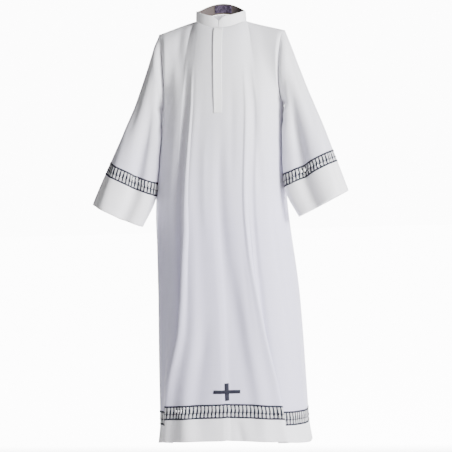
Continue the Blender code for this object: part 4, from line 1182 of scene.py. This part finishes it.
    def sew(self, name: str, runs: Sequence[Array], outward: Sequence[Array]) -> None:
        """Rows of white sewing stitches along drawn lines, as one finished piece."""
        self.finish_piece(self.stitch_row(name, runs, outward, SEWING, Finishes.LACE), Finishes.LACE)

    def finish_piece(self, piece: bpy.types.Object, finish: Finishes, *replaced: str) -> None:
        """Fix a piece to the frame and what it stands for, and report it."""
        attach(piece, BODY)
        if replaced:
            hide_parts(*replaced)
        log.info("%s: %d faces", piece.name, len(piece.data.polygons))


@dataclass(frozen=True)
class Stitch:
    """A stitch's spacing, its size along, across and out, and its turn from the line."""

    pitch: float
    size: tuple[float, float, float]
    turn: float = 0.0
    unevenness: float = 0.15


SEWING = Stitch(3.0 * MM, (2.5 * MM, 0.6 * MM, 0.6 * MM))
SATIN = Stitch(1.3 * MM, (7.0 * MM, 2.4 * MM, 2.6 * MM), 68.0)


@dataclass
class BodyPanels:
    """Front and back panels, from the openwork band up to the neck and shoulders."""

    shop: Workshop
    form: RobeForm
    cloth: float = 0.9 * MM
    flat_width: tuple[float, float] = (0.84, 0.88)
    flat_length: float = 1.42
    low_rows: int = 130
    high_rows: int = 44
    middle_step: float = 1.5
    pleat_columns: int = 34
    side_columns: int = 28

    def columns(self, centre: float) -> Array:
        """Cloth angles of half a panel from its middle, closer inside the pleat."""
        form = self.form
        pleat = form.front_pleat_at if centre == 0 else 180 - form.back_pleat_at
        low, high = pleat - form.pleat_span / 2, pleat + form.pleat_span / 2
        edge = 90 - SEAM_GAP / 2 / DEGREE
        pleated = np.linspace(low, high, self.pleat_columns)[:-1]
        runs = (np.arange(0, low, self.middle_step), pleated, np.linspace(high, edge, self.side_columns))
        half = np.concatenate(runs)
        return np.concatenate((-half[:0:-1], half))

    def heights(self, cloth: Array) -> Array:
        """Heights of the rows, from the band's upper edge to the top."""
        low = self.form.band_top(cloth)
        share = np.linspace(0, 1, self.low_rows)[:, None]
        lower = low + (UNDERARM_Z - low) * share
        climb = np.linspace(0, 1, self.high_rows)[1:, None]
        return np.concatenate((lower, UNDERARM_Z + CLIMB_HEIGHT * climb + 0 * low))

    def build(self) -> None:
        """Both panels."""
        for name, node, centre, width in (
            ("front_cloth", "front_panel", 0.0, self.flat_width[0]),
            ("back_cloth", "back_panel", 180.0, self.flat_width[1]),
        ):
            columns = centre + self.columns(centre)
            points = self.form.place(columns[None, :], self.heights(columns))
            piece = self.shop.sheet(name, points, Finishes.CLOTH, self.cloth)
            self.shop.finish_piece(piece, Finishes.CLOTH, node)


@dataclass
class HemBand:
    """The openwork above the hem, the satin lines at its edges, and the turned-up hem."""

    shop: Workshop
    form: RobeForm
    pitch: float = 13.2 * MM
    doubled: float = 1.5 * MM
    columns: int = 300
    rows: int = 18
    puff: float = 0.9 * MM
    stitch_points: int = 500
    stitch_share: float = 0.26
    stitch_lift: float = 1.0 * MM

    def height(self, cloth: Array, share: Array | float) -> Array:
        """Height at a share of the band, 0 at its bottom and 1 at its top."""
        return self.form.band_top(cloth) - self.form.band_height * (1 - np.asarray(share))

    def place(self, cloth: Array, share: Array | float, lift: Array | float = 0.0) -> Array:
        """Points on the band."""
        return self.form.place(cloth, self.height(cloth, share), lift)

    def outward(self, cloth: Array, share: float) -> Array:
        """Directions away from the band."""
        return self.form.outward(cloth, self.height(cloth, share))

    def build(self) -> None:
        """Front and back halves of the band and the hem."""
        for half, start, end in (("front", -90.0, 90.0), ("back", 90.0, 270.0)):
            band = Openwork(self.shop, self.place, self.outward, start, end, self.pitch)
            band.build("hem", half, (f"hem_lace_{half}",), (self.form.band_height, 0.80))
            self.build_turn_up(half, start, end)

    def build_turn_up(self, half: str, start: float, end: float) -> None:
        """The doubled hem below the band, and the stitches along its turned edge."""
        cloth = np.linspace(start, end, self.columns)[None, :]
        share = np.linspace(0, 1, self.rows)[:, None]
        low, high = self.form.hem_edge(cloth), self.height(cloth, 0.0)
        puff = self.puff * np.sin(np.pi * share) ** 0.5
        points = self.form.place(cloth, low + (high - low) * share, puff)
        piece = self.shop.sheet(f"hem_turn_up_{half}", points, Finishes.TRIM, self.doubled)
        self.shop.finish_piece(piece, Finishes.TRIM, f"hem_border_{half}")
        line = np.linspace(start, end, self.stitch_points)
        height = self.form.hem_edge(line) * self.stitch_share
        height = height + self.height(line, 0.0) * (1 - self.stitch_share)
        run = self.form.place(line, height, self.stitch_lift)
        self.shop.sew(f"hem_stitches_{half}", [run], [self.form.outward(line, height)])


@dataclass
class Openwork:
    """One run of openwork: thread bundles pinched at a waist, and navy lines beside them."""

    shop: Workshop
    place: Callable[..., Array]
    outward: Callable[..., Array]
    start: float
    end: float
    pitch: float
    strand_radius: float = 0.44 * MM
    line_inset: float = 0.035
    samples: int = 1600
    cord_points: int = 6
    cord_lift: float = 1.1 * MM
    satin_lift: float = 0.6 * MM
    overlap: float = 6.0
    waist: float = 0.40
    levels: tuple[float, ...] = (0.0, 0.10, 0.20, 0.30, 0.36, 0.40, 0.44, 0.50, 0.60, 0.72, 0.86, 1.0)
    strands: tuple[float, ...] = (-1.0, -0.88, -0.76, -0.5, -0.25, 0.0, 0.25, 0.5, 0.76, 0.88, 1.0)
    tie_half: float = 1.3 * MM
    tie_points: tuple[float, ...] = (-1.6, -0.8, 0.0, 0.8, 1.6)
    tie_roundness: float = 0.36
    splay: float = 0.75
    foot: float = 0.35
    bundle_rise: float = 0.9 * MM
    tie_rise: float = 1.5 * MM
    sunk: float = 0.2 * MM
    cord_radius: float = 1.0 * MM
    cord_sides: int = 5
    gap_strands: tuple[float, ...] = (-0.16, -0.055, 0.055, 0.16)
    gap_strands_sway: float = 0.13
    gap_strands_sunk: float = 0.6 * MM

    def measure(self) -> tuple[Array, Array, float]:
        """Angles along the waist, their running lengths from the start, and the whole length."""
        angles = np.linspace(self.start - self.overlap, self.end + self.overlap, self.samples)
        steps = np.linalg.norm(np.diff(self.place(angles, self.waist), axis=0), axis=-1)
        lengths = np.concatenate(([0.0], np.cumsum(steps)))
        lengths = lengths - np.interp(self.start, angles, lengths)
        return angles, lengths, float(np.interp(self.end, angles, lengths))

    def build(self, part: str, half: str, nodes: tuple[str, ...], flat: tuple[float, float]) -> None:
        """All of the run's pieces.

        Args:
            part: What it belongs to, for the names.
            half: Which half it is, for the names.
            nodes: The frame's nodes that the bundles stand for.
            flat: Height and length of the flat band; not used.
        """
        angles, lengths, total = self.measure()
        count = round(total / self.pitch)
        pitch = total / count
        middles = (np.arange(count) + 1.0)[:, None, None] * pitch
        strand = np.array(self.strands)[:, None]
        levels = np.array(self.levels)
        above = (levels - self.waist) / (1 - self.waist)
        spread = np.where(levels > self.waist, above, -above * (1 - self.waist) / self.waist)
        spread = np.clip(spread, 0, 1) ** self.splay
        aside = strand * (self.tie_half + (pitch * self.foot - self.tie_half) * spread)
        lift = self.bundle_rise * (1 - strand**2) * (1 - spread) - self.sunk
        threads = self.place(np.interp(middles + aside, lengths, angles), levels, lift)
        runs = list(threads.reshape(-1, len(levels), 3))
        tie = np.array(self.tie_points)
        bulge = self.tie_rise * (1 - self.tie_roundness * tie**2)
        at = np.interp(middles[:, :, 0] + tie * self.tie_half, lengths, angles)
        ties = list(self.place(at, self.waist, bulge))
        # Navy strands drawn down the middle of each gap between the bundles, sunk below the cloth, which
        # darken the gaps.
        sway = self.gap_strands_sway * np.sin(np.pi * (levels - self.waist) / (1 - self.waist))
        for aside in self.gap_strands:
            at = np.interp(middles[:, :, 0] + pitch * (0.5 + sway + aside), lengths, angles)
            ties = ties + list(self.place(at, levels, -self.gap_strands_sunk))
        bundles = self.shop.threads(f"{part}_openwork_{half}", runs, self.strand_radius, Finishes.LACE)
        self.shop.finish_piece(bundles, Finishes.LACE, *nodes)
        cord = np.linspace(self.start, self.end, self.cord_points * count)
        cords = [self.place(cord, self.waist, self.cord_lift)] + ties
        title = f"{part}_mid_cord_{half}"
        knots = self.shop.threads(title, cords, self.cord_radius, Finishes.NAVY, self.cord_sides)
        self.shop.finish_piece(knots, Finishes.NAVY)
        lines, outs = [], []
        for share in (-self.line_inset, 1 + self.line_inset):
            lines.append(self.place(cord, share, self.satin_lift))
            outs.append(self.outward(cord, share))
        satin = self.shop.stitch_row(f"{part}_satin_lines_{half}", lines, outs, SATIN, Finishes.NAVY)
        self.shop.finish_piece(satin, Finishes.NAVY)


@dataclass
class Sleeve:
    """One sleeve: the tube, its openwork band and the doubled cuff."""

    shop: Workshop
    form: SleeveForm
    name: str
    cloth: float = 0.9 * MM
    doubled: float = 1.5 * MM
    pitch: float = 12.8 * MM
    columns: int = 120
    tube_rows: int = 90
    cuff_rows: int = 26
    puff: float = 0.8 * MM
    stitch_points: int = 400
    stitch_station: float = 0.94
    stitch_lift: float = 1.0 * MM

    def rows(self, stations: Array, lift: Array | float = 0.0) -> Array:
        """Rings of points, cuff end first, turned so that their faces point out."""
        around = np.linspace(-90, 270, self.columns + 1)[:-1]
        order = around if self.form.side > 0 else around[::-1]
        return self.form.place(order[None, :], stations[:, None], lift)

    def band(self, around: Array, share: Array | float, lift: Array | float = 0.0) -> Array:
        """Points on the sleeve's band, 0 at its cuff edge and 1 at its top."""
        run = self.form.band_top - self.form.band_bottom
        return self.form.place(around, self.form.band_bottom + run * np.asarray(share), lift)

    def band_outward(self, around: Array, share: float) -> Array:
        """Directions away from the band."""
        run = self.form.band_top - self.form.band_bottom
        return self.form.outward(around, self.form.band_bottom + run * share + 0 * around)

    def build(self) -> None:
        """The whole sleeve."""
        points = self.rows(np.linspace(self.form.band_top, 0, self.tube_rows))
        tube = self.shop.sheet(f"sleeve_cloth_{self.name}", points, Finishes.CLOTH, self.cloth, True)
        self.shop.finish_piece(tube, Finishes.CLOTH, f"sleeve_{self.name}")
        puff = self.puff * np.sin(np.pi * np.linspace(0, 1, self.cuff_rows)[:, None]) ** 0.5
        points = self.rows(np.linspace(1, self.form.band_bottom, self.cuff_rows), puff)
        cuff = self.shop.sheet(f"cuff_cloth_{self.name}", points, Finishes.TRIM, self.doubled, True)
        self.shop.finish_piece(cuff, Finishes.TRIM, f"cuff_{self.name}")
        for half, start in (("front", -90.0), ("back", 90.0)):
            work = Openwork(self.shop, self.band, self.band_outward, start, start + 180.0, self.pitch)
            work.build(f"sleeve_{self.name}", half, (f"sleeve_lace_{half}_{self.name}",), (0.040, 0.24))
        ring = np.linspace(-90, 270, self.stitch_points)
        station = self.stitch_station + 0 * ring
        run = self.form.place(ring, station, self.stitch_lift)
        self.shop.sew(f"cuff_stitches_{self.name}", [run], [self.form.outward(ring, station)])


@dataclass
class Neckwear:
    """Collar, fly placket, label and the wire fastening."""

    shop: Workshop
    form: RobeForm
    collar: CollarForm
    cloth: float = 1.0 * MM
    collar_end: float = 20.0
    collar_end_columns: int = 24
    collar_columns: int = 130
    collar_rows: int = 16
    collar_puff: float = 0.5 * MM
    collar_rim: float = 0.6 * MM
    collar_rim_angle: float = 50.0
    collar_stitch_rows: tuple[float, float] = (0.12, 0.86)
    placket_columns: int = 21
    placket_rows: int = 90
    placket_top: float = 0.985
    placket_lift: tuple[float, float] = (0.8 * MM, 3.0 * MM)
    placket_curl: float = 1.5
    placket_loosens: float = 0.06
    placket_closes: float = 0.03
    placket_seam: float = 3.9
    placket_inset: float = 0.004
    placket_levels: tuple[float, float] = (0.004, 0.026)
    placket_stitch_lifts: tuple[float, float] = (3.4 * MM, 2.1 * MM)
    label_angles: tuple[float, float] = (200.0, 160.0)
    label_shares: tuple[float, float] = (0.18, 0.86)
    label_columns: int = 24
    label_rows: int = 14
    label_gap: float = 0.4 * MM
    label_wall: float = 0.8 * MM

    def build(self) -> None:
        """All the pieces round the neck."""
        self.build_collar()
        self.build_placket()
        self.build_label()
        for node in ("collar_hook", "collar_eye"):
            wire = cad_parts[node]
            wire.data.materials.clear()
            wire.data.materials.append(self.shop.material(Finishes.STEEL))

    def build_collar(self) -> None:
        """The stand collar and its two rows of stitches."""
        split = self.collar.split_angle
        end, columns = self.collar_end, self.collar_end_columns
        round_back = np.linspace(end, 360 - end, self.collar_columns)[1:-1]
        ends = (np.linspace(split, end, columns), np.linspace(360 - end, 360 - split, columns))
        angle = np.concatenate((ends[0], round_back, ends[1]))
        share = np.linspace(0, 1, self.collar_rows)[:, None]
        puff = self.collar_puff * np.sin(np.pi * share) ** 0.6
        points = self.collar.place(angle[None, :], share, puff)
        piece = self.shop.sheet("collar_cloth", points, Finishes.TRIM, self.collar.thickness)
        # The inner side of the collar wall takes the near-black facing colour, painted shade inside the
        # collar.
        piece.data.materials.append(self.shop.material(Finishes.FACING_PAINTED_SHADE))
        piece.modifiers["wall"].material_offset = 1
        rim = piece.modifiers.new("rim", "BEVEL")
        rim.width = self.collar_rim
        rim.segments = 2
        rim.limit_method = "ANGLE"
        rim.angle_limit = math.radians(self.collar_rim_angle)
        self.shop.finish_piece(piece, Finishes.TRIM, "collar")
        runs, outs = [], []
        for share in self.collar_stitch_rows:
            points = self.collar.place(angle, share, self.collar_puff)
            ahead = np.gradient(points, axis=0)
            runs.append(points)
            outs.append(beside(ahead))
        self.shop.sew("collar_stitches", runs, outs)

    def build_placket(self) -> None:
        """The fly strip, free at the viewer's left edge, and its stitches."""
        half = self.form.placket_angle
        cloth = np.linspace(-half, half, self.placket_columns)[None, :]
        top = UNDERARM_Z + CLIMB_HEIGHT * self.placket_top
        height = np.linspace(PLACKET_END_Z, top, self.placket_rows)[:, None]
        loose = (half - cloth) / (2 * half)
        low, high = self.placket_lift
        opened = smooth_step(PLACKET_END_Z, PLACKET_END_Z + self.placket_loosens, height)
        lift = low + (high - low) * loose**self.placket_curl * opened
        lift = lift * smooth_step(CLIMB_TOP, CLIMB_TOP - self.placket_closes, height) + self.cloth
        points = self.form.place(cloth, height, lift)
        piece = self.shop.sheet("placket_cloth", points, Finishes.TRIM, self.cloth)
        self.shop.finish_piece(piece, Finishes.TRIM, "placket")
        runs, outs = [], []
        up = np.linspace(PLACKET_END_Z + self.placket_inset, top - self.placket_inset, 160)
        for at, raised in zip((-self.placket_seam, self.placket_seam), self.placket_stitch_lifts):
            runs.append(self.form.place(0 * up + at, up, raised))
            outs.append(self.form.outward(0 * up + at, up))
        across = np.linspace(-self.placket_seam, self.placket_seam, 30)
        for level in self.placket_levels:
            height = 0 * across + PLACKET_END_Z + level
            runs.append(self.form.place(across, height, self.placket_stitch_lifts[1]))
            outs.append(self.form.outward(across, height))
        self.shop.sew("placket_stitches", runs, outs)

    def build_label(self) -> None:
        """The bare woven label inside the back of the collar."""
        angle = np.linspace(*self.label_angles, self.label_columns)[None, :]
        share = np.linspace(*self.label_shares, self.label_rows)[:, None]
        points = self.collar.place(angle, share, -self.collar.thickness - self.label_gap)
        piece = self.shop.sheet("label_weave", points, Finishes.LABEL, 0.0)
        piece.modifiers["wall"].thickness = self.label_wall
        piece.modifiers["wall"].offset = 1.0
        self.shop.finish_piece(piece, Finishes.LABEL, "neck_label")


@dataclass
class Cross:
    """The navy cross in satin stitch above the hem band."""

    shop: Workshop
    form: RobeForm
    z: float = -1.281
    half_width: float = 0.0455
    half_height: float = 0.0295
    centre: float = 0.005
    upright_half: float = 0.0070
    bar_half: float = 0.0060
    thread: float = 0.75 * MM
    slant: float = 0.6 * MM
    thread_radius: float = 0.5 * MM
    thread_points: int = 7
    thread_sides: int = 5
    reach: float = 20.0
    samples: int = 400
    crown: float = 1.6 * MM
    crown_fall: float = 0.9 * MM

    def angle_at(self, x: Array) -> Array:
        """Cloth angles of the front where the robe's surface has these x, at the cross."""
        angles = np.linspace(-self.reach, self.reach, self.samples)
        xs = self.form.place(angles, 0 * angles + self.z)[:, 0]
        return np.interp(x + self.centre + np.interp(0.0, angles, xs), xs, angles)

    def build(self) -> None:
        """Both bars: threads across each, crowned in the middle."""
        spread = np.linspace(-1, 1, self.thread_points)
        crown = self.crown - self.crown_fall * spread**4
        x = np.arange(-self.half_width, self.half_width + 1e-6, self.thread)[:, None]
        height = self.z + self.bar_half * spread + 0 * x
        bar = self.form.place(self.angle_at(x + self.slant * spread), height, crown)
        level = np.arange(-self.half_height, self.half_height + 1e-6, self.thread)[:, None]
        level = level[np.abs(level[:, 0]) > self.bar_half]
        angles = self.angle_at(self.upright_half * spread + 0 * level)
        upright = self.form.place(angles, self.z + level + self.slant * spread, crown)
        runs = list(bar) + list(upright)
        sizes = (self.thread_radius, Finishes.NAVY, self.thread_sides)
        piece = self.shop.threads("cross_embroidery", runs, *sizes)
        self.shop.finish_piece(piece, Finishes.NAVY, "cross")


@dataclass(frozen=True)
class Paper(Finish):
    """The studio's matt pale floor, with a bright strip behind the robe."""

    lean: float = 0.16
    half_width: float = 1.0
    widening: float = 0.22
    nearest: float = 0.35
    blend: float = 0.35
    glow: float = 12.0
    grain_scale: float = 60.0
    grain: float = 0.2 * MM

    def make(self) -> bpy.types.Material:
        """The material, with a glow on the strip of floor behind the robe."""
        material = super().make()
        tree = Tree(material.node_tree)
        shader = material.node_tree.nodes["Principled BSDF"]
        x, y, _ = tree.parts(self.coordinates(tree))
        behind = ((y - self.nearest) * (1 / self.blend)).clamped()
        aside = (x + y * self.lean).math("ABSOLUTE") - y * self.widening
        within = (1.0 - (aside - self.half_width) * (1 / self.blend)).clamped()
        bright = behind * within * self.glow
        grey = tree.value("ShaderNodeCombineXYZ", None, {0: bright, 1: bright, 2: bright})
        material.node_tree.links.new(grey.socket, shader.inputs["Emission Color"])
        shader.inputs["Emission Strength"].default_value = 1.0
        return material

    def height(self, tree: Tree, place: Value) -> Value:
        """Paper grain."""
        return tree.noise(place, self.grain_scale, 2.0) * self.grain


@dataclass
class Studio:
    """Floor, soft light and the camera."""

    floor_z: float = -1.62
    floor_half: float = 30.0
    yaw: float = 9.113
    pitch: float = -1.464
    roll: float = -1.985
    camera: tuple[float, float, float] = (0.784, -4.935, -0.595)
    lens: float = 113.78
    backdrop: float = 12.0
    backdrop_from: float = 0.82
    backdrop_blend: float = 0.10
    fill: float = 0.21
    key_place: tuple[float, float, float] = (3.65, -2.55, 0.7)
    key_target: tuple[float, float, float] = (0.0, 0.0, -0.7)
    key_size: float = 1.4
    key_power: float = 610.0

    def build(self) -> None:
        """All of it."""
        self.build_floor()
        self.build_lights()
        self.build_camera()

    def build_floor(self) -> None:
        """A plain pale floor below the hem."""
        mesh = bpy.data.meshes.new("floor")
        half = self.floor_half
        corners = [(-half, -half), (half, -half), (half, half), (-half, half)]
        mesh.from_pydata([(x, y, self.floor_z) for x, y in corners], [], [(0, 1, 2, 3)])
        mesh.materials.append(Paper("studio_paper", "", (0.9, 0.9, 0.9), 0.9, bump=0.3).make())
        put("floor", mesh)

    def build_lights(self) -> None:
        """A soft key from the right front, an even fill, and a bright backdrop behind the robe."""
        lamp = bpy.data.lights.new("key", "AREA")
        lamp.shape = "SQUARE"
        lamp.size = self.key_size
        lamp.energy = self.key_power
        holder = put("key", lamp)
        holder.location = self.key_place
        facing = Vector(self.key_target) - Vector(self.key_place)
        holder.rotation_euler = facing.to_track_quat("-Z", "Y").to_euler()
        world = bpy.data.worlds.new("studio")
        world.use_nodes = True
        tree = Tree(world.node_tree)
        way = tree.value("ShaderNodeTexCoord", output="Generated")
        behind = (tree.parts(way)[1] - self.backdrop_from) * (1 / self.backdrop_blend)
        bright = behind.clamped() * (self.backdrop - self.fill) + self.fill
        background = world.node_tree.nodes["Background"]
        background.inputs["Color"].default_value = (1.0, 1.0, 1.0, 1.0)
        world.node_tree.links.new(bright.socket, background.inputs["Strength"])
        bpy.context.scene.world = world

    def build_camera(self) -> None:
        """The photograph's viewpoint."""
        lens = bpy.data.cameras.new("camera")
        lens.lens = self.lens
        lens.sensor_width = 36.0
        holder = put("camera", lens)
        yaw = Matrix.Rotation(math.radians(self.yaw), 4, "Z")
        tilt = Matrix.Rotation(math.radians(90 + self.pitch), 4, "X")
        roll = Matrix.Rotation(math.radians(self.roll), 4, "Z")
        holder.matrix_world = Matrix.Translation(self.camera) @ yaw @ tilt @ roll
        bpy.context.scene.camera = holder


def main() -> None:
    """Build the robe and the studio."""
    logging.basicConfig(level=logging.INFO, format="%(message)s")
    Studio().build()
    shop = Workshop()
    form = RobeForm()
    BodyPanels(shop, form).build()
    HemBand(shop, form).build()
    for name, side in (("left", 1), ("right", -1)):
        Sleeve(shop, SleeveForm(form, side), name).build()
    Neckwear(shop, form, CollarForm(form)).build()
    Cross(shop, form).build()


if __name__ == "__main__":
    main()
